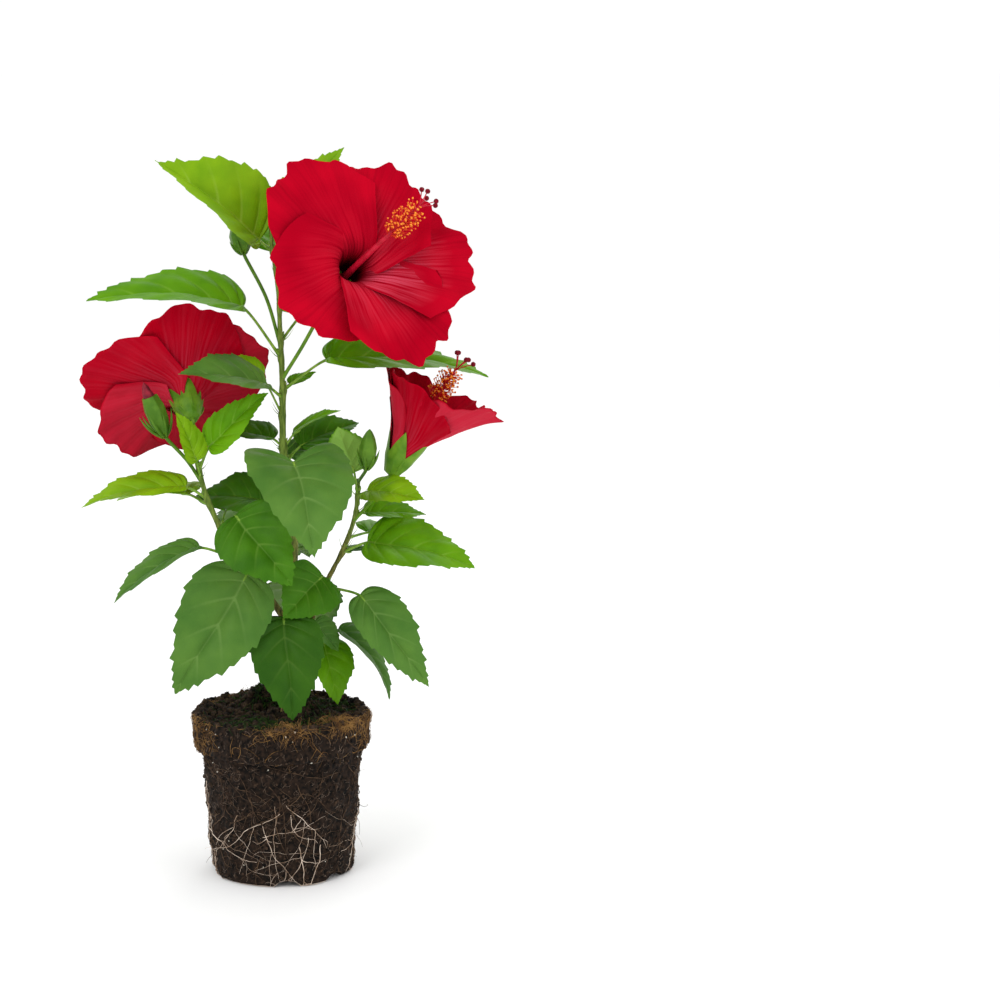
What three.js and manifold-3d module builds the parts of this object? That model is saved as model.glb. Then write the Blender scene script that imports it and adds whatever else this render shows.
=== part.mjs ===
// Young red hibiscus shrub standing on its bare root ball.
// Millimetres, +Z up. The origin is the centre of the root ball's flat underside.
// A bearing is an angle round the plant seen from above: 0 is towards -Y (the front), 90 is towards +X.
import * as THREE from 'three';
import { mergeVertices } from 'three/addons/utils/BufferGeometryUtils.js';
import Module from 'manifold-3d';

const wasm = await Module();
wasm.setup();

// ---- Driving dimensions ----

const GAP = 0.3; // clearance between a piece and what carries it

const BALL = {
  height: 108, // the flat top that the stem stands on
  lipHeight: 112, // the raised edge round that top
  lipWidth: 6,
  baseDiameter: 96,
  shoulderDiameter: 109,
  rimDiameter: 120,
  rimBottom: 88, // underside of the band that the pot's rim left
  edge: 2.5, // softened corners
  sides: 28,
};

const NOTCH = {
  bearings: [3, 48, 93, 138, 183, 228, 273], // arches left by the pot's drainage feet
  radius: 12,
  drop: 7, // how far the arch's centre lies under the ground
  depth: 10,
  sides: 10,
};

// A stem's route is a smooth curve through its points; its diameter runs evenly from foot to tip.
const STEMS = {
  main: {
    route: [[4, 0, 104], [5.2, 0, 122], [8, 0, 180], [10, 0, 227], [7, 0, 262], [4, 0, 292],
      [4, 0, 337], [3, 1, 372], [2, 2, 400], [-1, 2, 424], [-3, 3, 448]],
    foot: 7.3,
    tip: 2.0,
    flare: 5.5, // extra diameter at the soil
    flareHeight: 8,
  },
  left: {
    on: 'main',
    route: [[7.4, 0, 168], [1, -5, 180], [-9, -8, 196], [-19, -10, 209], [-30, -11, 221],
      [-42, -12, 248], [-49, -12, 267], [-54, -10, 287]],
    foot: 4.6,
    tip: 3.0,
  },
  right: {
    on: 'main',
    route: [[7, 0, 146], [20, 6, 170], [34, 10, 202], [44, 12, 221], [52, 13, 243], [54, 13, 257],
      [55, 12, 270]],
    foot: 3.8,
    tip: 2.6,
  },
};

const STEM_SIDES = 8;
const STEM_STEP = 20; // length of a stem between two of its rings
const HALVINGS = 20; // steps of the search for a height on a stem

const PETIOLE = {
  sides: 5,
  steps: 2,
  foot: 2.3,
  tip: 1.7,
  overlap: 7, // how far it runs on under the blade
  overlapShare: 0.15, // the most of the blade's length that it may run under
  slimFrom: 0.5, // share of its thickness that a leaf of no length would have
  slimLength: 120, // blade length that adds a whole share
};
const BLADE = { stations: 7, thickness: 1.6, lobe: 0.12, point: 1.2 };

// One row for each leaf. `at` is the height of its joint on the stem `on`; the petiole leaves it along
// `bearing` and `rise`; the blade then runs along `heading` and `pitch`. `roll` lifts the blade's right side,
// `sag` is its whole bend from base to tip, and `fold` lifts both halves from the midrib.
const LEAVES = [
  { name: 'leaf_top_left', on: 'main', at: 426, bearing: 255, rise: 42, petiole: 12,
    heading: 282, pitch: 38, length: 88, width: 70, roll: 48, sag: 16, fold: 30, lobe: 0.04, point: 1.7 },
  { name: 'leaf_top_right', on: 'main', at: 438, bearing: 130, rise: 50, petiole: 14,
    heading: 96, pitch: 47, length: 63, width: 34, roll: -40, sag: 10, fold: 14 },
  { name: 'leaf_high_left', on: 'main', at: 355, bearing: 279, rise: 54, petiole: 43,
    heading: 271, pitch: 3, length: 105, width: 54, roll: 20, sag: 30, fold: 16 },
  { name: 'leaf_high_right', on: 'main', at: 333, bearing: 108, rise: 32, petiole: 37,
    heading: 101, pitch: -8, length: 116, width: 54, roll: -18, sag: 26, fold: 12 },
  { name: 'leaf_node_small', on: 'main', at: 334, bearing: 150, rise: 15, petiole: 10,
    heading: 120, pitch: 17, length: 22, width: 12, roll: -20, sag: 10, fold: 10 },
  { name: 'leaf_middle_left', on: 'main', at: 328, bearing: 322, rise: 32, petiole: 21,
    heading: 294, pitch: 10, length: 64, width: 42, roll: 25, sag: 24, fold: 14 },
  { name: 'leaf_bright_left', on: 'main', at: 316, bearing: 270, rise: 63, petiole: 29,
    heading: 272, pitch: 22, length: 30, width: 24, roll: 40, sag: 12, fold: 14 },
  { name: 'leaf_bough_top', on: 'left', at: 281, bearing: 50, rise: 62, petiole: 19,
    heading: 76, pitch: 42, length: 56, width: 28, roll: -60, sag: 14, fold: 14 },
  { name: 'leaf_young_left', on: 'left', at: 276, bearing: 345, rise: 55, petiole: 16,
    heading: 285, pitch: 68, length: 36, width: 22, roll: 60, sag: 14, fold: 16 },
  { name: 'leaf_inner_left', on: 'main', at: 294, bearing: 250, rise: 42, petiole: 9,
    heading: 245, pitch: 4, length: 44, width: 28, roll: 15, sag: 16, fold: 14 },
  { name: 'leaf_outer_left', on: 'left', at: 262, bearing: 261, rise: 30, petiole: 16,
    heading: 273, pitch: -10, length: 72, width: 40, roll: 14, sag: 26, fold: 14 },
  { name: 'leaf_side_left', on: 'left', at: 221, bearing: 282, rise: 20, petiole: 25,
    heading: 284, pitch: -30, length: 69, width: 36, roll: 8, sag: 30, fold: 16 },
  { name: 'leaf_large_left', on: 'left', at: 200, bearing: 330, rise: 35, petiole: 22,
    heading: 297, pitch: -54, length: 95, width: 60, roll: 58, sag: 24, fold: 10 },
  { name: 'leaf_front_left', on: 'left', at: 213, bearing: 347, rise: 59, petiole: 48,
    heading: 51, pitch: -42, length: 64, width: 50, roll: -52, sag: 20, fold: 10 },
  { name: 'leaf_front_heart', on: 'main', at: 240, bearing: 2, rise: 56, petiole: 60,
    heading: 14, pitch: -46, length: 78, width: 72, roll: 0, sag: 34, fold: 12, lobe: 0.6, point: 1.6 },
  { name: 'leaf_behind_left', on: 'main', at: 256, bearing: 240, rise: 0, petiole: 19,
    heading: 252, pitch: 2, length: 50, width: 42, roll: 30, sag: 20, fold: 12 },
  { name: 'leaf_thin_right', on: 'main', at: 293, bearing: 119, rise: 51, petiole: 13,
    heading: 75, pitch: 27, length: 37, width: 18, roll: -15, sag: 24, fold: 14 },
  { name: 'leaf_inner_right', on: 'main', at: 283, bearing: 132, rise: 36, petiole: 18,
    heading: 122, pitch: 14, length: 50, width: 30, roll: -28, sag: 20, fold: 14 },
  { name: 'leaf_pale_right', on: 'main', at: 286, bearing: 160, rise: 10, petiole: 11,
    heading: 128, pitch: 18, length: 28, width: 18, roll: -30, sag: 14, fold: 10 },
  { name: 'leaf_upright_right', on: 'right', at: 258, bearing: 345, rise: 64, petiole: 20,
    heading: 310, pitch: 66, length: 36, width: 32, roll: -50, sag: 14, fold: 16 },
  { name: 'leaf_yellow_right', on: 'right', at: 258, bearing: 40, rise: 24, petiole: 11,
    heading: 46, pitch: 0, length: 52, width: 28, roll: -34, sag: 18, fold: 14 },
  { name: 'leaf_slim_right', on: 'right', at: 247, bearing: 135, rise: -12, petiole: 10,
    heading: 103, pitch: -5, length: 44, width: 24, roll: -26, sag: 18, fold: 16 },
  { name: 'leaf_outer_right', on: 'right', at: 219, bearing: 71, rise: 24, petiole: 20,
    heading: 76, pitch: -12, length: 77, width: 52, roll: -30, sag: 28, fold: 12 },
  { name: 'leaf_centre_small', on: 'main', at: 190, bearing: 56, rise: 36, petiole: 31,
    heading: 306, pitch: -36, length: 42, width: 42, roll: 58, sag: 20, fold: 12 },
  { name: 'leaf_drooping_right', on: 'right', at: 196, bearing: 60, rise: -8, petiole: 27,
    heading: 73, pitch: -52, length: 79, width: 38, roll: -50, sag: 22, fold: 12 },
  { name: 'leaf_front_low', on: 'main', at: 156, bearing: 350, rise: 46, petiole: 37,
    heading: 11, pitch: -70, length: 71, width: 50, roll: -5, sag: 26, fold: 12 },
  { name: 'leaf_grey_right', on: 'main', at: 178, bearing: 69, rise: -12, petiole: 17,
    heading: 97, pitch: -52, length: 27, width: 22, roll: -45, sag: 14, fold: 16 },
  { name: 'leaf_low_right', on: 'main', at: 139, bearing: 112, rise: 38, petiole: 31,
    heading: 36, pitch: -68, length: 46, width: 36, roll: 0, sag: 22, fold: 12 },
  { name: 'leaf_arched_right', on: 'right', at: 165, bearing: 103, rise: 0, petiole: 23,
    heading: 80, pitch: -54, length: 62, width: 34, roll: -8, sag: 50, fold: 18 },
  { name: 'leaf_pale_left', on: 'left', at: 196, bearing: 189, rise: 25, petiole: 16,
    heading: 137, pitch: -10, length: 24, width: 22, roll: 0, sag: 14, fold: 10 },
  { name: 'leaf_hidden_small', on: 'main', at: 225, bearing: 163, rise: -10, petiole: 9,
    heading: 154, pitch: -28, length: 22, width: 16, roll: 0, sag: 14, fold: 10 },
  { name: 'leaf_hidden_right', on: 'right', at: 221, bearing: 161, rise: -20, petiole: 10,
    heading: 129, pitch: -2, length: 26, width: 18, roll: 0, sag: 14, fold: 10 },
  { name: 'leaf_back_crown', on: 'main', at: 412, bearing: 165, rise: 40, petiole: 20,
    heading: 158, pitch: 12, length: 78, width: 56, roll: 6, sag: 34, fold: 14 },
  { name: 'leaf_back_high', on: 'main', at: 388, bearing: 125, rise: 22, petiole: 26,
    heading: 122, pitch: 4, length: 80, width: 54, roll: -10, sag: 30, fold: 14 },
  { name: 'leaf_back_upper', on: 'main', at: 366, bearing: 140, rise: 36, petiole: 28,
    heading: 146, pitch: -8, length: 84, width: 58, roll: 6, sag: 34, fold: 12 },
  { name: 'leaf_back_middle_left', on: 'main', at: 246, bearing: 206, rise: 14, petiole: 26,
    heading: 212, pitch: -28, length: 76, width: 54, roll: 8, sag: 30, fold: 12 },
  { name: 'leaf_back_middle_right', on: 'main', at: 272, bearing: 158, rise: 22, petiole: 24,
    heading: 152, pitch: -20, length: 76, width: 56, roll: -8, sag: 30, fold: 12 },
  { name: 'leaf_back_low_left', on: 'main', at: 205, bearing: 222, rise: 16, petiole: 26,
    heading: 226, pitch: -42, length: 80, width: 60, roll: 10, sag: 30, fold: 12 },
  { name: 'leaf_back_low', on: 'main', at: 186, bearing: 172, rise: 14, petiole: 26,
    heading: 168, pitch: -46, length: 74, width: 56, roll: 0, sag: 28, fold: 12 },
  { name: 'leaf_back_left', on: 'left', at: 240, bearing: 172, rise: 24, petiole: 24,
    heading: 168, pitch: -6, length: 74, width: 50, roll: 0, sag: 30, fold: 12 },
  { name: 'leaf_back_outer_left', on: 'left', at: 257, bearing: 225, rise: 16, petiole: 22,
    heading: 228, pitch: -10, length: 70, width: 44, roll: 0, sag: 20, fold: 10 },
  { name: 'leaf_back_outer_right', on: 'right', at: 229, bearing: 140, rise: 2, petiole: 22,
    heading: 130, pitch: -11, length: 68, width: 44, roll: 0, sag: 20, fold: 10 },
  { name: 'leaf_back_middle', on: 'main', at: 228, bearing: 184, rise: 20, petiole: 24,
    heading: 182, pitch: -34, length: 70, width: 50, roll: 0, sag: 26, fold: 12 },
  { name: 'leaf_back_right_crown', on: 'main', at: 404, bearing: 104, rise: 26, petiole: 26,
    heading: 102, pitch: 16, length: 68, width: 44, roll: 10, sag: 26, fold: 12 },
];

// An open flower: `base` is where the corolla meets its calyx, `bearing` and `rise` give its axis. The five
// petals start with the one whose middle lies `spin` degrees round the axis; each has its own length and
// opening angle.
const FLOWERS = {
  top: {
    on: 'main', at: 341, via: [[17, -3, 362], [32, -7, 389]],
    base: [44, -10, 408], bearing: 21, rise: 25, spin: -45,
    lengths: [94, 90, 100, 94, 80], opens: [86, 86, 86, 86, 86],
    columnLength: 73, columnLean: 40, columnBearing: 54,
  },
  left: {
    on: 'left', at: 286, via: [[-56, -11, 300]],
    base: [-57, -10, 318], bearing: 193, rise: 29, spin: 0,
    lengths: [78, 78, 78, 78, 78], opens: [80, 80, 80, 80, 80],
    columnLength: 76, columnLean: 14, columnBearing: 193,
  },
  right: {
    on: 'right', at: 241, via: [[60, 12, 250], [68, 10, 260]],
    base: [78, 6, 276], bearing: 88, rise: 63, spin: -8,
    lengths: [72, 66, 72, 78, 76], opens: [32, 30, 34, 42, 32],
    columnLength: 74, columnLean: 8, columnBearing: 175,
  },
};

const COROLLA = {
  tube: 4.5, // radius at the calyx
  throatAngle: 12, // slope of the petals off the flower's axis at the tube
  bend: [0.15, 0.5], // shares of a petal's length between which it bends to its opening angle
  thickness: 1.5,
  notch: 0.12, // how far the outline dips between two petals
  sides: 20,
  rings: [0.14, 0.32, 0.52, 0.76, 1], // shares of a petal's length
  floor: 0.05, // share at which the throat is closed
  strides: 20, // steps along a petal's curve
};
const COLUMN = { foot: 3.4, tip: 2.2, headFrom: 0.6, head: 9, sides: 6, steps: 5 };
const PEDICEL = { foot: 2.4, tip: 2.6, sides: 6, steps: 5 };
const CALYX = {
  floor: 3,
  foot: 6.6,
  middle: 9.2,
  middleAt: 10,
  valley: 13, // height of the dips between two sepals
  valleyRadius: 9.8,
  sepal: 22, // height of the sepals' tips
  sepalRadius: 13,
  sides: 10,
};

// A closed bud: `base` is where its pedicel ends.
const BUDS = {
  bud_left: {
    on: 'left', at: 272, via: [[-60, -14, 288]], base: [-75, -16, 306], tip: [-88, -18, 342], diameter: 13,
  },
  bud_right: {
    on: 'right', at: 268, via: [], base: [60, -8, 281], tip: [62, -13, 308], diameter: 11,
  },
  bud_top: {
    on: 'main', at: 362, via: [[-6, 6, 395]], base: [-21, 14, 425], tip: [-25, 16, 448], diameter: 14,
  },
};
const BUD = {
  profile: [0.45, 0.9, 1, 0.72, 0.2], // share of its diameter, evenly from base to tip
  overlap: 0.15, // share of its length that the pedicel runs into it
  sides: 8,
  steps: 6,
};

// ---- Geometry helpers ----

const radians = THREE.MathUtils.degToRad;

/** Unit vector along a bearing and an angle above the horizon, both in degrees. */
function direction(bearing, rise) {
  const flat = Math.cos(radians(rise));
  return new THREE.Vector3(
    Math.sin(radians(bearing)) * flat,
    -Math.cos(radians(bearing)) * flat,
    Math.sin(radians(rise)),
  );
}

/** Closed solid through rings of points with equal counts, each turning left round the way to the last. */
function loft(rings) {
  const sides = rings[0].length;
  const positions = rings.flat().flatMap((p) => [p.x, p.y, p.z]);
  const index = [];
  for (let ring = 0; ring + 1 < rings.length; ring++) {
    for (let side = 0; side < sides; side++) {
      const a = ring * sides + side;
      const b = ring * sides + ((side + 1) % sides);
      index.push(a, b, b + sides, a, b + sides, a + sides);
    }
  }
  const last = (rings.length - 1) * sides;
  for (let side = 1; side + 1 < sides; side++) {
    index.push(0, side + 1, side);
    index.push(last, last + side, last + side + 1);
  }
  const geometry = new THREE.BufferGeometry();
  geometry.setAttribute('position', new THREE.Float32BufferAttribute(positions, 3));
  geometry.setIndex(index);
  return geometry;
}

/** Round limb along a curve; `diameter` gives its thickness at a share of the way along. */
function limb(curve, diameter, sides, steps, extra = 0) {
  const frames = curve.computeFrenetFrames(steps, false);
  const rings = [];
  for (let step = 0; step <= steps; step++) {
    const share = step / steps;
    const centre = curve.getPointAt(share);
    const radius = diameter(share) / 2 + extra;
    const ring = [];
    for (let side = 0; side < sides; side++) {
      const turn = (2 * Math.PI * side) / sides;
      ring.push(centre.clone()
        .addScaledVector(frames.normals[step], radius * Math.cos(turn))
        .addScaledVector(frames.binormals[step], radius * Math.sin(turn)));
    }
    rings.push(ring);
  }
  return loft(rings);
}

/** Manifold solid of a closed geometry. */
function solid(geometry) {
  const bare = geometry.clone();
  bare.deleteAttribute('normal');
  bare.deleteAttribute('uv');
  const merged = mergeVertices(bare);
  return new wasm.Manifold(new wasm.Mesh({
    numProp: 3,
    vertProperties: merged.attributes.position.array,
    triVerts: new Uint32Array(merged.index.array),
  }));
}

/** Geometry of a manifold solid. */
function surface(manifold) {
  const mesh = manifold.getMesh();
  const geometry = new THREE.BufferGeometry();
  geometry.setAttribute('position', new THREE.Float32BufferAttribute(mesh.vertProperties, 3));
  geometry.setIndex([...mesh.triVerts]);
  return geometry;
}

const plant = new THREE.Group();

/** Adds a named mesh whose own origin is `joint`, the place where it is carried. */
function addNode(name, geometry, finish, joint) {
  geometry.translate(-joint.x, -joint.y, -joint.z);
  geometry.computeVertexNormals();
  const mesh = new THREE.Mesh(geometry, new THREE.MeshStandardMaterial(finish));
  mesh.name = name;
  mesh.position.copy(joint);
  plant.add(mesh);
}

const FINISH = {
  compost: { color: 0x2e2117, roughness: 1, metalness: 0 },
  bark: { color: 0x7d7248, roughness: 0.8, metalness: 0 },
  greenStem: { color: 0x6f9440, roughness: 0.6, metalness: 0 },
  leaf: { color: 0x2f7a26, roughness: 0.45, metalness: 0 },
  petal: { color: 0xbf0a26, roughness: 0.55, metalness: 0 },
};

// ---- Root ball ----

/** Radial arch cutter for a drainage notch in the root ball's lower edge. */
function notchCutter(bearing) {
  const cutter = new THREE.CylinderGeometry(NOTCH.radius, NOTCH.radius, NOTCH.depth * 2, NOTCH.sides);
  cutter.translate(0, -BALL.baseDiameter / 2, 0);
  cutter.rotateZ(radians(bearing));
  cutter.translate(0, 0, -NOTCH.drop);
  return cutter;
}

/** Root ball turned round its axis, with a rim band, a raised lip and drainage notches. */
function rootBall() {
  const base = BALL.baseDiameter / 2;
  const rim = BALL.rimDiameter / 2;
  const profile = [
    [0, 0], [base - BALL.edge, 0], [base, BALL.edge],
    [BALL.shoulderDiameter / 2, BALL.rimBottom], [rim, BALL.rimBottom + BALL.edge],
    [rim, BALL.lipHeight - BALL.edge], [rim - BALL.edge, BALL.lipHeight],
    [rim - BALL.lipWidth, BALL.height], [0, BALL.height],
  ].map(([radius, height]) => new THREE.Vector2(radius, height));
  const ball = new THREE.LatheGeometry(profile, BALL.sides);
  ball.rotateX(Math.PI / 2);
  const cutters = NOTCH.bearings.map((bearing) => solid(notchCutter(bearing)));
  const cut = cutters.reduce((rest, cutter) => rest.subtract(cutter), solid(ball));
  return surface(cut);
}

addNode('root_ball', rootBall(), FINISH.compost, new THREE.Vector3());

// ---- Stems ----

/** The ground that a stem stands on, reaching GAP above the root ball's top. */
function footing() {
  const depth = 20;
  return new THREE.BoxGeometry(BALL.rimDiameter, BALL.rimDiameter, depth)
    .translate(0, 0, BALL.height + GAP - depth / 2);
}

/** Curve, diameter function and solids of one stem of the STEMS table. */
function buildStem(stem) {
  const curve = new THREE.CatmullRomCurve3(stem.route.map((point) => new THREE.Vector3(...point)));
  const length = curve.getLength();
  const steps = Math.ceil(length / STEM_STEP);
  const flare = stem.flare ?? 0;
  const diameter = (share) => THREE.MathUtils.lerp(stem.foot, stem.tip, share)
    + flare * Math.exp((-share * length) / (stem.flareHeight ?? 1));
  return {
    curve,
    foot: curve.getPointAt(0),
    body: solid(limb(curve, diameter, STEM_SIDES, steps)),
    clearance: solid(limb(curve, diameter, STEM_SIDES, steps, GAP)),
  };
}

const stems = {};
for (const [name, stem] of Object.entries(STEMS)) {
  stems[name] = buildStem(stem);
}
for (const [name, stem] of Object.entries(stems)) {
  const carrier = STEMS[name].on;
  const body = stem.body.subtract(carrier ? stems[carrier].clearance : solid(footing()));
  addNode(carrier ? `${name}_bough` : 'main_stem', surface(body), FINISH.bark, stem.foot);
}

/** Point of a stem's centre line at a height; every stem climbs all the way. */
function pointOnStem(name, height) {
  let low = 0;
  let high = 1;
  for (let halving = 0; halving < HALVINGS; halving++) {
    const middle = (low + high) / 2;
    if (stems[name].curve.getPointAt(middle).z < height) {
      low = middle;
    } else {
      high = middle;
    }
  }
  return stems[name].curve.getPointAt(low);
}

/** Cuts a piece back to clear the stem that carries it. */
function seatOn(name, piece) {
  return surface(piece.subtract(stems[name].clearance));
}

// ---- Leaves ----

/** Point and upward direction at a share of a blade's midrib, an arc that bends down by `sag`. */
function midrib({ length, sag }, share) {
  const bend = radians(sag);
  const heading = bend / 2 - bend * share;
  return {
    point: new THREE.Vector3(
      0,
      (length * (Math.sin(bend / 2) - Math.sin(heading))) / bend,
      (length * (Math.cos(heading) - Math.cos(bend / 2))) / bend,
    ),
    up: new THREE.Vector3(0, -Math.sin(heading), Math.cos(heading)),
  };
}

/**
 * Blade in its own frame: +Y from the base to the tip, +X to its right, +Z up. Its outline runs from the base
 * at turn 0 to the tip at turn 180, with lobes behind the base.
 */
function blade(row) {
  const { lobe = BLADE.lobe, point = BLADE.point } = row;
  const outline = (turn) => Math.sin(turn) * Math.cos(turn / 2) ** point;
  const widest = outline(2 * Math.atan(1 / Math.sqrt(1 + point)));
  const { stations } = BLADE;
  const rows = { top: [], under: [], right: [], left: [] };
  for (let station = 1; station < stations; station++) {
    const turn = (Math.PI * station) / stations;
    const along = (1 - Math.cos(turn)) / 2;
    const middle = midrib(row, along);
    const edge = midrib(row, along - lobe * Math.sin(turn) * Math.cos(turn / 2) ** 8);
    const half = (row.width / 2) * (outline(turn) / widest);
    const across = Math.cos(radians(row.fold)) * half;
    const lift = Math.sin(radians(row.fold)) * half;
    rows.top.push(middle.point.clone().addScaledVector(middle.up, BLADE.thickness / 2));
    rows.under.push(middle.point.clone().addScaledVector(middle.up, -BLADE.thickness / 2));
    rows.right.push(edge.point.clone().addScaledVector(edge.up, lift).add(new THREE.Vector3(across, 0, 0)));
    rows.left.push(edge.point.clone().addScaledVector(edge.up, lift).add(new THREE.Vector3(-across, 0, 0)));
  }
  const count = stations - 1;
  const ends = [midrib(row, 0).point, midrib(row, 1).point];
  const points = [...ends, ...rows.top, ...rows.right, ...rows.under, ...rows.left];
  const index = [];
  for (let edge = 0; edge < 4; edge++) {
    const near = 2 + edge * count;
    const far = 2 + ((edge + 1) % 4) * count;
    index.push(0, far, near);
    index.push(1, near + count - 1, far + count - 1);
    for (let step = 0; step + 1 < count; step++) {
      index.push(near + step, far + step, far + step + 1);
      index.push(near + step, far + step + 1, near + step + 1);
    }
  }
  const geometry = new THREE.BufferGeometry();
  const numbers = points.flatMap((p) => [p.x, p.y, p.z]);
  geometry.setAttribute('position', new THREE.Float32BufferAttribute(numbers, 3));
  geometry.setIndex(index);
  return geometry;
}

/** One leaf: its petiole from the stem's centre line, joined to its blade and cut back to the stem. */
function leaf(row) {
  const joint = pointOnStem(row.on, row.at);
  const junction = joint.clone().addScaledVector(direction(row.bearing, row.rise), row.petiole);
  const forward = direction(row.heading, row.pitch);
  const level = direction(row.heading - 90, 0);
  const upright = new THREE.Vector3().crossVectors(level, forward);
  const right = level.multiplyScalar(Math.cos(radians(row.roll)))
    .addScaledVector(upright, Math.sin(radians(row.roll)));
  const up = new THREE.Vector3().crossVectors(right, forward);
  const place = new THREE.Matrix4().makeBasis(right, forward, up).setPosition(junction);
  const slim = Math.min(1, PETIOLE.slimFrom + row.length / PETIOLE.slimLength);
  const overlap = Math.min(PETIOLE.overlap / row.length, PETIOLE.overlapShare);
  const inBlade = midrib(row, overlap).point.applyMatrix4(place);
  const route = new THREE.CatmullRomCurve3([joint, junction, inBlade]);
  const stalk = limb(route, (share) => slim * THREE.MathUtils.lerp(PETIOLE.foot, PETIOLE.tip, share),
    PETIOLE.sides, PETIOLE.steps);
  const piece = solid(stalk).add(solid(blade(row).applyMatrix4(place)));
  addNode(row.name, seatOn(row.on, piece), FINISH.leaf, joint);
}

for (const row of LEAVES) {
  leaf(row);
}

// ---- Flowers ----

/** Matrix that carries +Z onto a flower's axis and keeps +Y in the vertical plane, at its base. */
function flowerPlace(flower) {
  const axis = direction(flower.bearing, flower.rise);
  const side = direction(flower.bearing + 90, 0);
  const top = new THREE.Vector3().crossVectors(axis, side);
  return new THREE.Matrix4().makeBasis(side, top, axis).setPosition(...flower.base);
}

/** Value at an angle round the flower, blended evenly between the middles of neighbouring petals. */
function betweenPetals(values, angle) {
  const place = (((angle / (2 * Math.PI)) * 5) % 5 + 5) % 5;
  const petal = Math.floor(place);
  return THREE.MathUtils.lerp(values[petal], values[(petal + 1) % 5], place - petal);
}

/** Point of the petals' back at an angle and a share of their length, with the slope there. */
function petalPoint(flower, angle, share) {
  const turn = angle - radians(flower.spin);
  const dip = 1 - COROLLA.notch * (1 - Math.abs(Math.cos(2.5 * turn)));
  const length = betweenPetals(flower.lengths, turn) * dip;
  const open = betweenPetals(flower.opens, turn);
  const slope = (part) => radians(THREE.MathUtils.lerp(
    COROLLA.throatAngle,
    open,
    THREE.MathUtils.smoothstep(part, ...COROLLA.bend),
  ));
  let radius = COROLLA.tube;
  let height = 0;
  for (let stride = 0.5; stride < COROLLA.strides; stride++) {
    const part = (share * stride) / COROLLA.strides;
    radius += (Math.sin(slope(part)) * share * length) / COROLLA.strides;
    height += (Math.cos(slope(part)) * share * length) / COROLLA.strides;
  }
  return { radius, height, slope: slope(share) };
}

/** Ring round the flower's axis at a share of the petals' length, moved off their back by `offset`. */
function petalRing(flower, share, offset) {
  const ring = [];
  for (let side = 0; side < COROLLA.sides; side++) {
    const angle = (2 * Math.PI * side) / COROLLA.sides;
    const point = petalPoint(flower, angle, share);
    const radius = point.radius - offset * Math.cos(point.slope);
    ring.push(new THREE.Vector3(
      radius * Math.sin(angle),
      radius * Math.cos(angle),
      point.height + offset * Math.sin(point.slope),
    ));
  }
  return ring.reverse();
}

/** Curve of the staminal column, which leans towards `columnBearing` in the flower's own frame. */
function columnCurve(flower) {
  const lean = radians(flower.columnLean);
  const turn = radians(flower.columnBearing);
  const at = (share) => {
    const bend = lean * share;
    return new THREE.Vector3(
      Math.sin(turn) * Math.sin(bend),
      Math.cos(turn) * Math.sin(bend),
      Math.cos(bend),
    ).multiplyScalar(flower.columnLength * share);
  };
  return new THREE.CatmullRomCurve3([0.01, 0.33, 0.66, 1].map(at));
}

/** Corolla of five joined petals, open at the front, with the staminal column in its throat. */
function corolla(flower) {
  const back = [0, ...COROLLA.rings].map((share) => petalRing(flower, share, 0));
  const front = [COROLLA.floor, ...COROLLA.rings]
    .map((share) => petalRing(flower, share, COROLLA.thickness))
    .reverse();
  const thickness = (share) => (share < COLUMN.headFrom
    ? THREE.MathUtils.lerp(COLUMN.foot, COLUMN.tip, share)
    : COLUMN.head);
  const column = limb(columnCurve(flower), thickness, COLUMN.sides, COLUMN.steps);
  return solid(loft([...back, ...front])).add(solid(column));
}

/** Room that the foot of the corolla needs inside its calyx. */
function corollaClearance(flower) {
  const rings = [0, ...COROLLA.rings.slice(0, 3)].map((share) => petalRing(flower, share, -GAP));
  rings[0].forEach((point) => point.setZ(-GAP));
  return solid(loft(rings));
}

/** Pedicel and cup-shaped calyx with five sepals, round the foot of the corolla. */
function calyx(flower) {
  const ring = (radius, height, sepalRadius = radius, sepalHeight = height) => {
    const points = [];
    for (let side = 0; side < CALYX.sides; side++) {
      const angle = (2 * Math.PI * side) / CALYX.sides;
      const r = side % 2 ? radius : sepalRadius;
      const h = side % 2 ? height : sepalHeight;
      points.push(new THREE.Vector3(r * Math.cos(angle), r * Math.sin(angle), h - CALYX.floor));
    }
    return points;
  };
  const cup = solid(loft([
    ring(PEDICEL.tip / 2, 0),
    ring(CALYX.foot, CALYX.floor),
    ring(CALYX.middle, CALYX.middleAt),
    ring(CALYX.valleyRadius, CALYX.valley, CALYX.sepalRadius, CALYX.sepal),
  ])).subtract(corollaClearance(flower)).transform(flowerPlace(flower).elements);
  const axis = direction(flower.bearing, flower.rise);
  const base = new THREE.Vector3(...flower.base);
  const foot = pointOnStem(flower.on, flower.at);
  const route = new THREE.CatmullRomCurve3([
    foot,
    ...flower.via.map((point) => new THREE.Vector3(...point)),
    base.clone().addScaledVector(axis, -CALYX.floor * 2),
    base.clone().addScaledVector(axis, -CALYX.floor * 0.6),
  ]);
  const thickness = (share) => THREE.MathUtils.lerp(PEDICEL.foot, PEDICEL.tip, share);
  const stalk = limb(route, thickness, PEDICEL.sides, PEDICEL.steps);
  return { foot, piece: cup.add(solid(stalk)) };
}

for (const [name, flower] of Object.entries(FLOWERS)) {
  const base = new THREE.Vector3(...flower.base);
  const bloom = surface(corolla(flower)).applyMatrix4(flowerPlace(flower));
  addNode(`bloom_${name}`, bloom, FINISH.petal, base);
  const { foot, piece } = calyx(flower);
  addNode(`calyx_${name}`, seatOn(flower.on, piece), FINISH.greenStem, foot);
}

// ---- Buds ----

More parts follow.
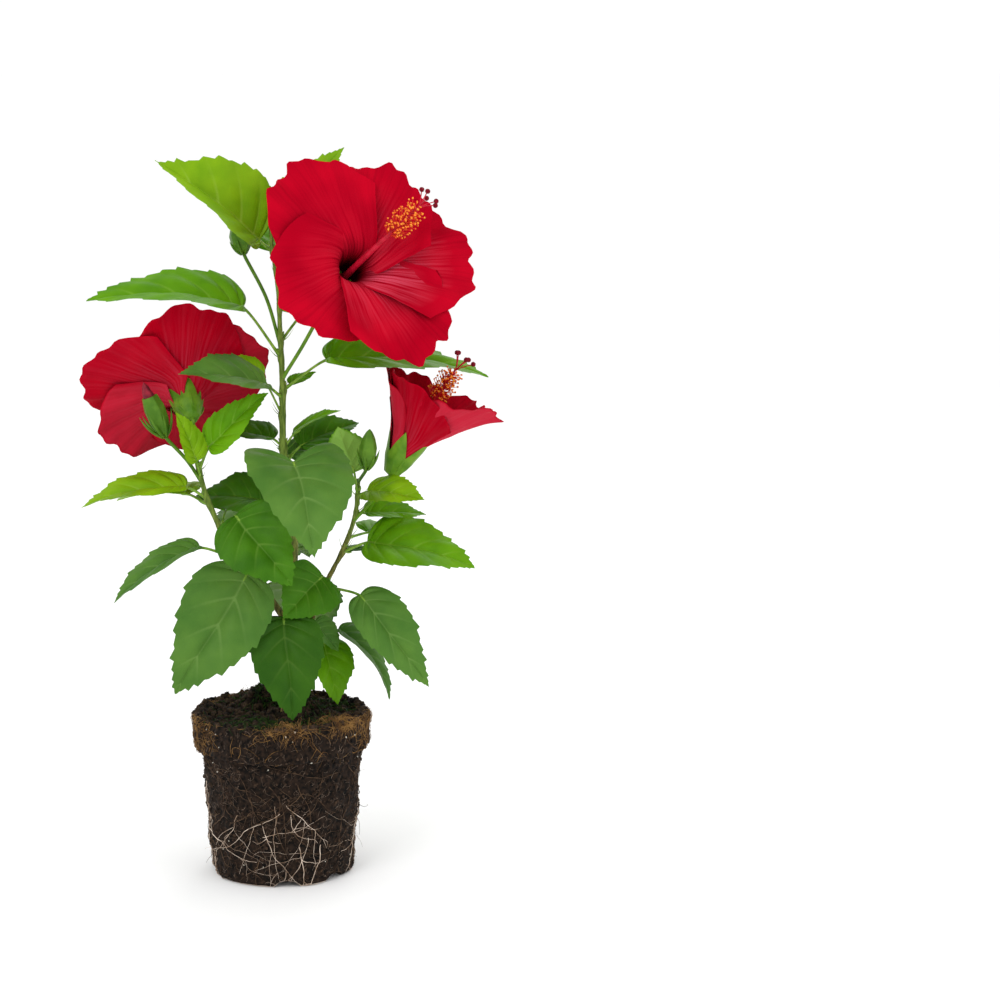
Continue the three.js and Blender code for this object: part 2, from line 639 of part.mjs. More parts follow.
/** Closed bud: its pedicel and a spindle that swells and comes to a point. */
function bud(row) {
  const base = new THREE.Vector3(...row.base);
  const tip = new THREE.Vector3(...row.tip);
  const foot = pointOnStem(row.on, row.at);
  const route = new THREE.CatmullRomCurve3([
    foot,
    ...row.via.map((point) => new THREE.Vector3(...point)),
    base,
    base.clone().lerp(tip, BUD.overlap),
  ]);
  const stalk = limb(route, () => PEDICEL.foot, PEDICEL.sides, PEDICEL.steps);
  const swelling = (share) => {
    const place = share * (BUD.profile.length - 1);
    const step = Math.min(Math.floor(place), BUD.profile.length - 2);
    return row.diameter * THREE.MathUtils.lerp(BUD.profile[step], BUD.profile[step + 1], place - step);
  };
  const body = limb(new THREE.LineCurve3(base, tip), swelling, BUD.sides, BUD.steps);
  return { foot, piece: solid(stalk).add(solid(body)) };
}

for (const [name, row] of Object.entries(BUDS)) {
  const { foot, piece } = bud(row);
  addNode(name, seatOn(row.on, piece), FINISH.greenStem, foot);
}

export default plant;
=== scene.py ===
"""Young red hibiscus shrub on its bare root ball, standing on a pale floor in soft studio light.

The tables are in millimetres and the meshes in metres, +Z up. The origin is the centre of the root ball's
flat underside. A bearing is an angle in degrees round the plant, seen from above: 0 is towards -Y, the
front, and 90 is towards +X.
"""
import math

import bpy
import numpy as np
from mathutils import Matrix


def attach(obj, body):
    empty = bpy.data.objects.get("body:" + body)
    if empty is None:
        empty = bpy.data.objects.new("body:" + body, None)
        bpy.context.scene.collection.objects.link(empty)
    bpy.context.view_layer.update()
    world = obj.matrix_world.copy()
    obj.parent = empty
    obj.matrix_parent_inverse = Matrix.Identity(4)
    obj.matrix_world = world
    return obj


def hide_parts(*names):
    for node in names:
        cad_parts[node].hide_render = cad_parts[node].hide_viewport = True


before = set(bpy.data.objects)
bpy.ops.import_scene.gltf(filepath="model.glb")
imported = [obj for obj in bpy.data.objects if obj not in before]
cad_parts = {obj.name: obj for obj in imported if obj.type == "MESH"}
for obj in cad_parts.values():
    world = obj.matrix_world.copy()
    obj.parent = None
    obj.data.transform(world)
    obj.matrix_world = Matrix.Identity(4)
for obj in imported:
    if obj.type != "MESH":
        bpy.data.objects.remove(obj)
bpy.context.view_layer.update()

MM = 0.001

# ---- The plant's sizes ----

# Root ball: radii of its base, of its crumbly wall half-way up, below its rim band and of its rim; heights
# of the band, the sunk top and the lip; radius of the rounded edges and width of the lip
BALL = {
    "base": 48, "wall": 52, "shoulder": 54.5, "rim": 60,
    "band": 88, "top": 108, "lip": 112,
    "edge": 2.5, "lip_width": 6,
}

# Arches that the pot's feet left in the lower edge, cut in by a depth: circles centred a drop below it
ARCH = {"bearings": (3, 48, 93, 138, 183, 228, 273), "radius": 12, "drop": 7, "depth": 10}

# The highest lump of compost on the top: a bell curve, at a bearing and so far out from the middle
MOUND = {"bearing": 205, "out": 34, "height": 12.5, "width": 13}

STEMS = {
    # name: route, diameter at the foot and the tip, flare and its height
    "main": ([(4, 0, 104), (5.2, 0, 122), (8, 0, 180), (10, 0, 227), (7, 0, 262), (4, 0, 292), (4, 0, 337),
              (3, 1, 372), (2, 2, 400), (-1, 2, 424), (-3, 3, 448)], 7.3, 2.0, 5.5, 8),
    "left": ([(7.4, 0, 168), (1, -5, 180), (-9, -8, 196), (-19, -10, 209), (-30, -11, 221), (-42, -12, 248),
              (-49, -12, 267), (-54, -10, 287)], 4.6, 3.0, 0, 1),
    "right": ([(7, 0, 146), (20, 6, 170), (34, 10, 202), (44, 12, 221), (52, 13, 243), (54, 13, 257),
               (55, 12, 270)], 3.8, 2.6, 0, 1),
}

# name: stem, height of the joint, stalk (bearing, rise, length), blade (heading, pitch, length, width),
# shape (roll, sag, fold), tint
LEAVES = {
    "leaf_top_left": ("main", 426, (255, 42, 12), (282, 38, 88, 70), (48, 16, 30), "young"),
    "leaf_top_right": ("main", 438, (130, 50, 14), (96, 47, 63, 34), (-40, 10, 14), "young"),
    "leaf_high_left": ("main", 355, (279, 54, 43), (271, 3, 105, 54), (20, 30, 16), "fresh"),
    "leaf_high_right": ("main", 333, (108, 32, 37), (101, -8, 116, 54), (-18, 26, 12), "fresh"),
    "leaf_node_small": ("main", 334, (150, 15, 10), (120, 17, 22, 12), (-20, 10, 10), "fresh"),
    "leaf_middle_left": ("main", 328, (322, 32, 21), (294, 10, 64, 42), (25, 24, 14), "old"),
    "leaf_bright_left": ("main", 316, (270, 63, 29), (272, 22, 30, 24), (40, 12, 14), "young"),
    "leaf_bough_top": ("left", 281, (50, 62, 19), (76, 42, 56, 28), (-60, 14, 14), "fresh"),
    "leaf_young_left": ("left", 276, (345, 55, 16), (285, 68, 36, 22), (60, 14, 16), "young"),
    "leaf_inner_left": ("main", 294, (250, 42, 9), (245, 4, 44, 28), (15, 16, 14), "grown"),
    "leaf_outer_left": ("left", 262, (261, 30, 16), (273, -10, 72, 40), (14, 26, 14), "young"),
    "leaf_side_left": ("left", 221, (282, 20, 25), (284, -30, 69, 36), (8, 30, 16), "old"),
    "leaf_large_left": ("left", 200, (330, 35, 22), (297, -54, 95, 60), (58, 24, 10), "old"),
    "leaf_front_left": ("left", 213, (347, 59, 48), (51, -42, 64, 50), (-52, 20, 10), "grown"),
    "leaf_front_heart": ("main", 240, (2, 56, 60), (14, -46, 78, 72), (0, 34, 12), "old"),
    "leaf_behind_left": ("main", 256, (240, 0, 19), (252, 2, 50, 42), (30, 20, 12), "grown"),
    "leaf_thin_right": ("main", 293, (119, 51, 13), (75, 27, 37, 18), (-15, 24, 14), "fresh"),
    "leaf_inner_right": ("main", 283, (132, 36, 18), (122, 14, 50, 30), (-28, 20, 14), "grown"),
    "leaf_pale_right": ("main", 286, (160, 10, 11), (128, 18, 28, 18), (-30, 14, 10), "old"),
    "leaf_upright_right": ("right", 258, (345, 64, 20), (310, 66, 36, 32), (-50, 14, 16), "fresh"),
    "leaf_yellow_right": ("right", 258, (40, 24, 11), (46, 0, 52, 28), (-34, 18, 14), "young"),
    "leaf_slim_right": ("right", 247, (135, -12, 10), (103, -5, 44, 24), (-26, 18, 16), "fresh"),
    "leaf_outer_right": ("right", 219, (71, 24, 20), (76, -12, 77, 52), (-30, 28, 12), "fresh"),
    "leaf_centre_small": ("main", 190, (56, 36, 31), (306, -36, 42, 42), (58, 20, 12), "grown"),
    "leaf_drooping_right": ("right", 196, (60, -8, 27), (73, -52, 79, 38), (-50, 22, 12), "old"),
    "leaf_front_low": ("main", 156, (350, 46, 37), (11, -70, 71, 50), (-5, 26, 12), "grown"),
    "leaf_grey_right": ("main", 178, (69, -12, 17), (97, -52, 27, 22), (-45, 14, 16), "old"),
    "leaf_low_right": ("main", 139, (112, 38, 31), (36, -68, 46, 36), (0, 22, 12), "fresh"),
    "leaf_arched_right": ("right", 165, (103, 0, 23), (80, -54, 62, 34), (-8, 50, 18), "old"),
    "leaf_pale_left": ("left", 196, (189, 25, 16), (137, -10, 24, 22), (0, 14, 10), "fresh"),
    "leaf_hidden_small": ("main", 225, (163, -10, 9), (154, -28, 22, 16), (0, 14, 10), "grown"),
    "leaf_hidden_right": ("right", 221, (161, -20, 10), (129, -2, 26, 18), (0, 14, 10), "grown"),
    "leaf_back_crown": ("main", 412, (165, 40, 20), (158, 12, 78, 56), (6, 34, 14), "fresh"),
    "leaf_back_high": ("main", 388, (125, 22, 26), (122, 4, 80, 54), (-10, 30, 14), "fresh"),
    "leaf_back_upper": ("main", 366, (140, 36, 28), (146, -8, 84, 58), (6, 34, 12), "fresh"),
    "leaf_back_middle_left": ("main", 246, (206, 14, 26), (212, -28, 76, 54), (8, 30, 12), "grown"),
    "leaf_back_middle_right": ("main", 272, (158, 22, 24), (152, -20, 76, 56), (-8, 30, 12), "grown"),
    "leaf_back_low_left": ("main", 205, (222, 16, 26), (226, -42, 80, 60), (10, 30, 12), "old"),
    "leaf_back_low": ("main", 186, (172, 14, 26), (168, -46, 74, 56), (0, 28, 12), "grown"),
    "leaf_back_left": ("left", 240, (172, 24, 24), (168, -6, 74, 50), (0, 30, 12), "fresh"),
    "leaf_back_outer_left": ("left", 257, (225, 16, 22), (228, -10, 70, 44), (0, 20, 10), "young"),
    "leaf_back_outer_right": ("right", 229, (140, 2, 22), (130, -11, 68, 44), (0, 20, 10), "fresh"),
    "leaf_back_middle": ("main", 228, (184, 20, 24), (182, -34, 70, 50), (0, 26, 12), "grown"),
    "leaf_back_right_crown": ("main", 404, (104, 26, 26), (102, 16, 68, 44), (10, 26, 12), "fresh"),
}

# Outline of a blade: how far its lobes reach back beside the stalk, and how pointed it is
PLAIN_LEAF = (0.12, 1.2)
BROAD_LEAVES = {"leaf_front_heart": (0.6, 1.6), "leaf_top_left": (0.04, 1.7)}

# Leaves darker than the rest of their tint, partly a darker green of their own and partly painted shade:
# share of the way to the darkest green
DARKER_FOR_SHADE_AND_TONE = {"leaf_front_low": 0.5, "leaf_large_left": 0.1, "leaf_behind_left": 0.1, "leaf_arched_right": 0.1}

# Every blade: steps along and across it, thickness, side veins, steps from one tooth to the next; as shares
# of the length or width, the depth of a tooth, the arch and the margin's waves; and on a leaf of the usual
# length, the height of the quilting, the groove, the midrib and the side ribs
BLADE = {
    "rows": 119, "columns": 16, "thickness": 0.45, "veins": 8, "tooth_rows": 7,
    "tooth": 0.022, "arch": 0.03, "wave": 0.028,
    "usual_length": 80, "quilting": 1.4, "groove": 0.3, "midrib": 0.9, "side_rib": 0.25,
}

# An open flower: where its stalk starts, the stalk's way, the foot of its petals, its axis (bearing, rise),
# its petals (angle round the axis, length, half width, opening, share of pale veins and of painted
# highlight), its column (length, lean, bearing), how far its petals wrap round the axis, how ruffled they
# are and the scale of its calyx
FLOWERS = {
    "top": {
        "on": ("main", 341), "via": [(17, -3, 362), (32, -7, 389)],
        "base": (44, -10, 408), "axis": (21, 25),
        "petals": [(-31, 94, 46, 84, 0.05), (31, 90, 42, 84, 0.25), (90, 100, 45, 89, 1.0),
                   (150, 94, 45, 84, 0.35), (245, 80, 52, 86, 0.1)],
        "column": (73, 40, 54), "wrap": 0.45, "ruffle": 1.0, "calyx": 1.0,
    },
    "left": {
        "on": ("left", 286), "via": [(-56, -11, 300)], "base": (-57, -10, 318), "axis": (193, 29),
        "petals": [(-4, 80, 42, 79, 0.0), (80, 84, 42, 80, 0.1), (136, 80, 42, 82, 0.7),
                   (218, 74, 44, 80, 0.5), (296, 76, 42, 80, 0.5)],
        "column": (76, 14, 193), "wrap": 0.5, "ruffle": 0.75, "calyx": 1.1,
    },
    "right": {
        "on": ("right", 241), "via": [(60, 12, 250), (68, 10, 260)], "base": (78, 6, 276), "axis": (88, 63),
        "petals": [(4, 76, 28, 33, 0.6), (74, 72, 34, 30, 0.2), (146, 76, 34, 35, 0.4),
                   (214, 86, 38, 41, 1.0), (303, 75, 36, 35, 0.0)],
        "column": (80, 5, 175), "wrap": 0.7, "ruffle": 0.8, "calyx": 1.15,
    },
}

# Every petal: steps along and across it, its thickness, the tube's radius, its slope at the throat, the
# shares of its length between which it opens, its width at the foot as a share of the greatest, and the
# heights of its waves, of the side that overlaps, of its middle groove, its pleats and its hollow
PETAL = {
    "rows": 44, "columns": 36, "thickness": 0.4,
    "tube": 4.5, "throat": 12, "bend": (0.15, 0.5), "claw": 0.13,
    "wave": 2.4, "overlap": 2.8, "groove": 1.2, "pleat": 0.25, "hollow": 4.0,
}

# Every column: its radius at the foot, how much of that it loses and its swelling there; the number of its
# threads, between which shares of its length they stand, their lengths, their radii at both ends and a
# pollen head's radius; and the number, length and radius of its branches and a pad's radius
COLUMN = {
    "radius": 2.5, "loss": 1.3, "swelling": 2.4,
    "threads": 150, "between": (0.7, 0.98), "reach": (4, 11), "thread": (0.3, 0.2), "head": 0.58,
    "branches": 5, "branch": 11, "style": 0.38, "pad": 1.75,
}

# Every calyx, from its foot up: height and radius where the petals start, radius and height of its belly,
# heights of the dips and of the points of its edge, and the radius at the points
CALYX = {"floor": 3, "foot": 5.2, "middle": 8.6, "middle_at": 11, "valley": 14, "sepal": 29, "spread": 13.5}

# A closed bud: where its stalk starts, the stalk's way, its base, tip and diameter, share of petals in it
BUDS = {
    "bud_left": (("left", 272), [(-60, -14, 288)], (-75, -16, 306), (-88, -18, 342), 13, 0.5),
    "bud_right": (("right", 268), [], (60, -8, 281), (62, -13, 308), 11, 0.0),
    "bud_top": (("main", 362), [(-6, 6, 395)], (-21, 14, 425), (-25, 16, 448), 14, 0.0),
}

# ---- The plant's finishes ----

# Living leaf, a waxy skin over green. tint: the two greens of its patches, veins, underside, roughness
LEAF_TINTS = {
    "young": ("#689608", "#82AC10", "#A4C650", "#8CB43C", 0.5),  # yellow-green and soft, just unfolded
    "fresh": ("#4E8404", "#629808", "#8AB244", "#7FA848", 0.48),  # clear mid green with a soft gloss
    "grown": ("#32620A", "#447612", "#74983E", "#6A8E46", 0.48),  # deep green with a soft gloss
    "old": ("#446E28", "#567E30", "#7FA056", "#72945A", 0.5),  # duller and greyer green
}
# Darkest green that the listed leaves are mixed towards: partly painted shade, partly a darker green of
# their own
SHADE_AND_TONE_GREEN = "#12300A"

# Living petal, velvet red: the two reds of its patches, its throat (its own dark eye, spread on as painted
# shade in the funnel), pale veins that also carry a painted highlight, back, and a lighter back red that
# is a painted highlight
RED_PETAL = {
    "deep": "#A2001A", "bright": "#B80420", "throat": "#2A0006", "pale_vein_and_highlight": "#E0627C", "back": "#A80018",
    "painted_highlight_back": "#CC2C42",
}

# Young bark: dark and light stripes of the grain, ripe wood low down and green wood higher up
RIPE_BARK = ("#453A1C", "#85733C")
GREEN_BARK = ("#4C641A", "#748A34")

# Skins of two colours in patches. name: the colours, the patches' size, roughness, depth of their relief
SKINS = {
    "young_shoot": ("#557E20", "#84A43A", 4, 0.5, 0.1),  # bright, slightly glossy green
    "leaf_stalk_skin": ("#5E8822", "#88AC40", 5, 0.45, 0.08),  # smooth, green with paler stretches
    "column_skin": ("#A40420", "#C81434", 5, 0.45, 0.1),  # smooth and fleshy, crimson
    "thread_skin": ("#C81C18", "#E03C20", 3, 0.45, 0.02),  # smooth orange-red
    "pollen": ("#E25A1C", "#F6A63A", 1.6, 0.8, 0.25),  # powdery orange and yellow
    "stigma_fuzz": ("#560010", "#8A0820", 0.6, 0.85, 0.3),  # velvety dark red, without any gloss
    "calyx_skin": ("#4C7A14", "#6C9424", 9, 0.48, 0.15),  # waxy green in broad soft patches
    "bud_skin": ("#426C12", "#5A8220", 9, 0.5, 0.15),  # as the calyx, a little darker
    "shaded_rolled_petal": ("#5A1020", "#8E1A2C", 4, 0.5, 0.2),  # wine red, darkened as painted shade for a petal furled in its own shade
    "moist_compost": ("#030201", "#2A1E16", 3.4, 0.95, 0.9),  # near black and crumbly, quite matt
    "compost_crumb": ("#040302", "#46362A", 5, 0.95, 0.4),  # as the compost, browner where it has dried
    "perlite": ("#CFC7B4", "#F2EEE2", 1.5, 0.9, 0.2),  # chalky off-white
    "live_root": ("#A2866E", "#EAD8C6", 7, 0.6, 0.1),  # cream to tan, faintly waxy
    "fine_root_hair": ("#1C140F", "#948070", 4, 0.8, 0.05),  # dull grey-brown, dark where soil clings
    "old_root": ("#2E1E14", "#66503C", 6, 0.75, 0.1),  # corky dark brown
    "coir_fibre": ("#5E4022", "#AA8048", 7, 0.75, 0.05),  # dry, straw to rust
    "moss": ("#0C1A06", "#2E4814", 4, 0.8, 0.1),  # dull dark green
}

# ---- The studio, in metres ----

LAMPS = {
    # name: place, aimed at, width, power in watts
    "key": ((-0.9, -1.3, 1.5), (0, 0, 0.28), 0.9, 10),
    "fill": ((1.3, -1.0, 0.8), (0, 0, 0.28), 1.0, 3),
    "back": ((0.5, 1.4, 1.3), (0, 0, 0.3), 0.9, 5),
}

# Where the camera stands, how far down and to the right it looks in degrees, and its lens in millimetres
CAMERA = {"place": (0, -1.8, 0.576), "down": 10.0462, "right": 4.7933, "lens": 96.73, "sensor": 36}


# ---- Helpers: numbers and surfaces ----


def unit(vectors):
    """The vectors, each divided by its own length."""
    return vectors / np.linalg.norm(vectors, axis=-1, keepdims=True)


def direction(bearing, rise):
    """Unit vector along a bearing and an angle above the horizon."""
    b, r = np.radians(bearing), np.radians(rise)
    return np.stack([np.sin(b) * np.cos(r), -np.cos(b) * np.cos(r), np.sin(r) + 0 * b], axis=-1)


def ease(value, low, high):
    """0 up to low, 1 from high on, and an S-shaped rise between them: three squares less two cubes."""
    part = np.clip((value - low) / (high - low), 0, 1)
    return part * part * (3 - 2 * part)


def noise(points, size, seed):
    """Smooth value noise from -1 to 1.

    A large sine gives each corner of a lattice of cubes its own number, and eased shares of the way
    across the cube blend the eight corners round a point.
    """
    place = np.asarray(points) / size
    cell = np.floor(place)
    part = ease(place - cell, 0, 1)
    total = 0
    for corner in np.ndindex(2, 2, 2):
        weight = np.prod(np.where(corner, part, 1 - part), axis=-1)
        wave = np.sin((cell + corner) @ np.array([127.1, 311.7, 74.7]) + 53.3 * seed)
        total = total + weight * np.modf(np.abs(wave) * 43758.5453)[0]
    return 2 * total - 1


def smooth_path(points, count):
    """Count points, evenly spaced, along the centripetal Catmull-Rom curve through the given points.

    Each stretch is a cubic whose end slopes weigh the neighbouring chords by the roots of their lengths.
    """
    p = np.asarray(points, float)
    p = np.vstack([2 * p[0] - p[1], p, 2 * p[-1] - p[-2]])
    gap = np.sqrt(np.linalg.norm(np.diff(p, axis=0), axis=1))[:, None]
    before, start, end, after = p[:-3], p[1:-2], p[2:-1], p[3:]
    g0, g1, g2 = gap[:-2], gap[1:-1], gap[2:]
    leave = g1 * ((start - before) / g0 - (end - before) / (g0 + g1) + (end - start) / g1)
    arrive = g1 * ((end - start) / g1 - (after - start) / (g1 + g2) + (after - end) / g2)
    t = np.linspace(0, 1, 33)[:-1, None, None]
    cubic = (start + leave * t + (3 * (end - start) - 2 * leave - arrive) * t**2
             + (2 * (start - end) + leave + arrive) * t**3)
    dense = np.vstack([cubic.transpose(1, 0, 2).reshape(-1, 3), p[-2]])
    far = np.concatenate([[0], np.cumsum(np.linalg.norm(np.diff(dense, axis=0), axis=1))])
    at = np.linspace(0, far[-1], count)
    return np.stack([np.interp(at, far, dense[:, k]) for k in range(3)], axis=1)


def surface(points, faces, cells=None, **marks):
    """A surface: its points, its triangles, the cell of each, and marks with one number for each point."""
    return {
        "points": np.asarray(points).reshape(-1, 3),
        "faces": faces,
        "cells": np.zeros(len(faces), int) if cells is None else cells,
        "marks": {name: np.ravel(values) for name, values in marks.items()},
    }


def grid_faces(rows, columns, start=0, flip=False):
    """Triangles of a grid of rows by columns of points, facing the side where columns turn left to rows."""
    at = start + np.arange(rows * columns).reshape(rows, columns)
    a, b, c, d = at[:-1, :-1], at[:-1, 1:], at[1:, 1:], at[1:, :-1]
    faces = np.stack([a, b, c, a, c, d], axis=-1).reshape(-1, 3)
    return faces[:, ::-1] if flip else faces


def joined(surfaces):
    """One surface from several: each one's triangles are numbered on past the points before them."""
    starts = np.cumsum([0] + [len(s["points"]) for s in surfaces[:-1]])
    marks = surfaces[0]["marks"]
    return {
        "points": np.concatenate([s["points"] for s in surfaces]),
        "faces": np.concatenate([s["faces"] + start for s, start in zip(surfaces, starts)]),
        "cells": np.concatenate([s["cells"] for s in surfaces]),
        "marks": {mark: np.concatenate([s["marks"][mark] for s in surfaces]) for mark in marks},
    }


def welded(made):
    """The surface with points at one place made one, and without the triangles that this folds flat."""
    key = np.round(made["points"] / (0.001 * MM)).astype(np.int64)
    _, first, number = np.unique(key, axis=0, return_index=True, return_inverse=True)
    faces = number.reshape(-1)[made["faces"]]
    kept = (faces[:, 0] != faces[:, 1]) & (faces[:, 1] != faces[:, 2]) & (faces[:, 2] != faces[:, 0])
    marks = {name: values[first] for name, values in made["marks"].items()}
    return surface(made["points"][first], faces[kept], made["cells"][kept], **marks)


def two_faced(front, back, cell, **marks):
    """A thin sheet from two grids of points, the front and the back, which meet along its edge.

    The mark side is 1 on the front and 0 on the back, edge is 1 where they meet, and each of the two has a
    cell of its own.
    """
    rows, columns = front.shape[:2]
    faces = np.concatenate([
        grid_faces(rows, columns),
        grid_faces(rows, columns, start=rows * columns, flip=True),
    ])
    cells = np.repeat([2 * cell, 2 * cell + 1], len(faces) // 2)
    side = np.repeat([1.0, 0.0], rows * columns)
    edge = np.tile((np.linalg.norm(front - back, axis=-1) < 1e-9).ravel(), 2).astype(float)
    double = {name: np.concatenate([np.ravel(values)] * 2) for name, values in marks.items()}
    return welded(surface(np.stack([front, back]), faces, cells, side=side, edge=edge, **double))


def ring_directions(paths, sides):
    """Unit vectors square to each path at each step, evenly round it.

    The first of them is also square to one fixed slanting line, so that neighbouring rings line up.
    """
    way = unit(np.gradient(paths, axis=-2))
    first = unit(np.cross(way, [0.31, 0.87, 0.38]))
    second = np.cross(way, first)
    turn = np.linspace(0, 2 * np.pi, sides, endpoint=False)[:, None]
    return np.cos(turn) * first[..., None, :] + np.sin(turn) * second[..., None, :]


def tubes(paths, radii, sides):
    """Round limbs, one for each path: a ring of points round each step, square to it, closed at both ends.

    Radii are one for each step, or one for each step and side.
    """
    count, steps = paths.shape[:2]
    radii = radii[..., None] if radii.ndim == 2 else radii
    walls = paths[:, :, None] + radii[..., None] * ring_directions(paths, sides)
    points = np.concatenate([walls.reshape(count, -1, 3), paths[:, :1], paths[:, -1:]], axis=1)
    at = np.arange(steps * sides).reshape(steps, sides)
    on = np.roll(at, -1, axis=1)
    foot, tip = steps * sides, steps * sides + 1
    faces = np.concatenate([
        np.stack([at[:-1], on[:-1], on[1:]], axis=-1).reshape(-1, 3),
        np.stack([at[:-1], on[1:], at[1:]], axis=-1).reshape(-1, 3),
        np.stack([np.full(sides, foot), on[0], at[0]], axis=-1),
        np.stack([np.full(sides, tip), at[-1], on[-1]], axis=-1),
    ])
    faces = faces + (np.arange(count) * points.shape[1])[:, None, None]
    return surface(points, faces.reshape(-1, 3))


def icosahedron():
    """Corners of a regular solid of 20 triangles, one unit from its middle, and its triangles, facing out.

    The corners are those of three golden rectangles, and three corners that are next to each other make a
    triangle.
    """
    gold = (1 + 5**0.5) / 2
    rectangle = [(s, t * gold, 0) for s in (-1, 1) for t in (-1, 1)]
    corners = unit(np.array([np.roll(c, k) for k in range(3) for c in rectangle], float))
    next_to = np.linalg.norm(corners[:, None] - corners[None], axis=-1) < 1.1
    faces = np.array([(i, j, k) for i in range(12) for j in range(i + 1, 12) for k in range(j + 1, 12)
                      if next_to[i, j] and next_to[j, k] and next_to[i, k]])
    a, b, c = corners[faces].transpose(1, 0, 2)
    inward = np.sum(np.cross(b - a, c - a) * a, axis=1) < 0
    faces[inward] = faces[inward][:, ::-1]
    return corners, faces


def lumps(centres, sizes, rng):
    """Small rough grains: uneven icosahedra, squashed by up to half and turned at random."""
    corners, faces = icosahedron()
    count = len(centres)
    shape = corners * (1 + rng.uniform(-0.22, 0.22, (count, 12, 1)))
    shape = shape * rng.uniform(0.5, 1, (count, 1, 3))
    turn, _ = np.linalg.qr(rng.normal(size=(count, 3, 3)))
    turn = turn * np.sign(np.linalg.det(turn))[:, None, None]
    points = centres[:, None] + sizes[:, None, None] * (shape @ turn)
    return surface(points, (faces + 12 * np.arange(count)[:, None, None]).reshape(-1, 3))


def add_piece(name, made, finish, nodes=()):
    """One object at the origin with the surface as its mesh, in place of the named solids.

    Marks become attributes of its points. The marks across and along, where it has them, place each face in
    its cell's square of the piece's own map.
    """
    mesh = bpy.data.meshes.new(name)
    mesh.from_pydata(made["points"].tolist(), [], made["faces"].tolist())
    mesh.shade_smooth()
    if "edge" in made["marks"]:
        ends = np.zeros(2 * len(mesh.edges), int)
        mesh.edges.foreach_get("vertices", ends)
        mesh.edges.foreach_set("use_edge_sharp", made["marks"]["edge"][ends].reshape(-1, 2).min(axis=1) > 0)
    for mark, values in made["marks"].items():
        mesh.attributes.new(mark, "FLOAT", "POINT").data.foreach_set("value", values.astype(np.float32))
    if "across" in made["marks"]:
        cell = np.repeat(made["cells"], 3)
        squares = math.ceil(math.sqrt(cell.max() + 1))
        place = np.stack([cell % squares, cell // squares], axis=1)
        local = np.stack([made["marks"]["across"], made["marks"]["along"]], axis=1)[made["faces"].ravel()]
        gap = 0.04
        uv = (place + gap + (1 - 2 * gap) * local) / squares
        mesh.uv_layers.new(name="OFBake").data.foreach_set("uv", uv.astype(np.float32).ravel())
    mesh.materials.append(finish)
    made_object = bpy.data.objects.new(name, mesh)
    bpy.context.scene.collection.objects.link(made_object)
    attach(made_object, "root")
    if nodes:
        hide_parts(*nodes)
    return made_object


# ---- Helpers: materials ----


def colour(text):
    """Linear colour of an sRGB hex value: each part through the sRGB curve."""
    parts = [int(text[k:k + 2], 16) / 255 for k in (1, 3, 5)]
    return (*(p / 12.92 if p <= 0.04045 else ((p + 0.055) / 1.055) ** 2.4 for p in parts), 1)


def node(tree, kind, inputs=(), **settings):
    """Adds one node with its settings; each input gets a plain value or another node's output."""
    made = tree.nodes.new("ShaderNode" + kind)
    for name, value in settings.items():
        setattr(made, name, value)
    for name, value in dict(inputs).items():
        if isinstance(value, bpy.types.NodeSocket):
            tree.links.new(value, made.inputs[name])
        else:
            made.inputs[name].default_value = value
    return made


def new_material(name, shading):
    """A material, its node tree and its shader, with plain values set on the shader's named sockets."""
    made = bpy.data.materials.new(name)
    made.use_nodes = True
    shader = made.node_tree.nodes["Principled BSDF"]
    for socket, value in shading.items():
        shader.inputs[socket].default_value = value
    return made, made.node_tree, shader


def finish_surface(tree, shader, paint, height, depth):
    """Links the colour, and the height as a bump that is a given depth in metres."""
    tree.links.new(paint, shader.inputs["Base Color"])
    bump = node(tree, "Bump", {"Height": height, "Distance": depth, "Strength": 1.0})
    tree.links.new(bump.outputs["Normal"], shader.inputs["Normal"])


def leaf_material(tint):
    """Living leaf: a waxy skin over green, paler along the veins and dull and pale underneath.

    Its greens lie in soft patches of 22 mm, and the net of the finest veins, 2.2 mm wide, dips into it.
    """
    deep, bright, vein, under, roughness = LEAF_TINTS[tint]
    shading = {"Roughness": roughness, "IOR": 1.42, "Specular IOR Level": 0.12}
    made, tree, shader = new_material(tint + "_leaf", shading)
    place = node(tree, "TexCoord").outputs["Object"]
    patches = node(tree, "TexNoise", {"Vector": place, "Scale": 1 / (22 * MM), "Detail": 2.0}).outputs[0]
    patches = node(tree, "MapRange", {0: patches, 1: 0.32, 2: 0.68, 3: 0.0, 4: 1.0}).outputs[0]
    top = node(tree, "Mix", {0: patches, 6: colour(deep), 7: colour(bright)}, data_type="RGBA").outputs[2]
    lines = node(tree, "Attribute", attribute_name="vein").outputs["Fac"]
    lines = node(tree, "Math", {0: lines, 1: 2.6}, operation="POWER").outputs[0]
    top = node(tree, "Mix", {0: lines, 6: top, 7: colour(vein)}, data_type="RGBA").outputs[2]
    # Darkening of the listed leaves towards the darkest green: partly painted shade, partly their own darker
    # green
    dark = node(tree, "Attribute", attribute_name="dark").outputs["Fac"]
    top = node(tree, "Mix", {0: dark, 6: top, 7: colour(SHADE_AND_TONE_GREEN)}, data_type="RGBA").outputs[2]
    side = node(tree, "Attribute", attribute_name="side").outputs["Fac"]
    both = node(tree, "Mix", {0: side, 6: colour(under), 7: top}, data_type="RGBA").outputs[2]
    net = node(tree, "TexVoronoi", {"Vector": place, "Scale": 1 / (2.2 * MM)}, feature="DISTANCE_TO_EDGE")
    dips = node(tree, "MapRange", {0: net.outputs["Distance"], 1: 0.0, 2: 0.3, 3: 0.0, 4: 1.0}).outputs[0]
    finish_surface(tree, shader, both, dips, 0.05 * MM)
    return made


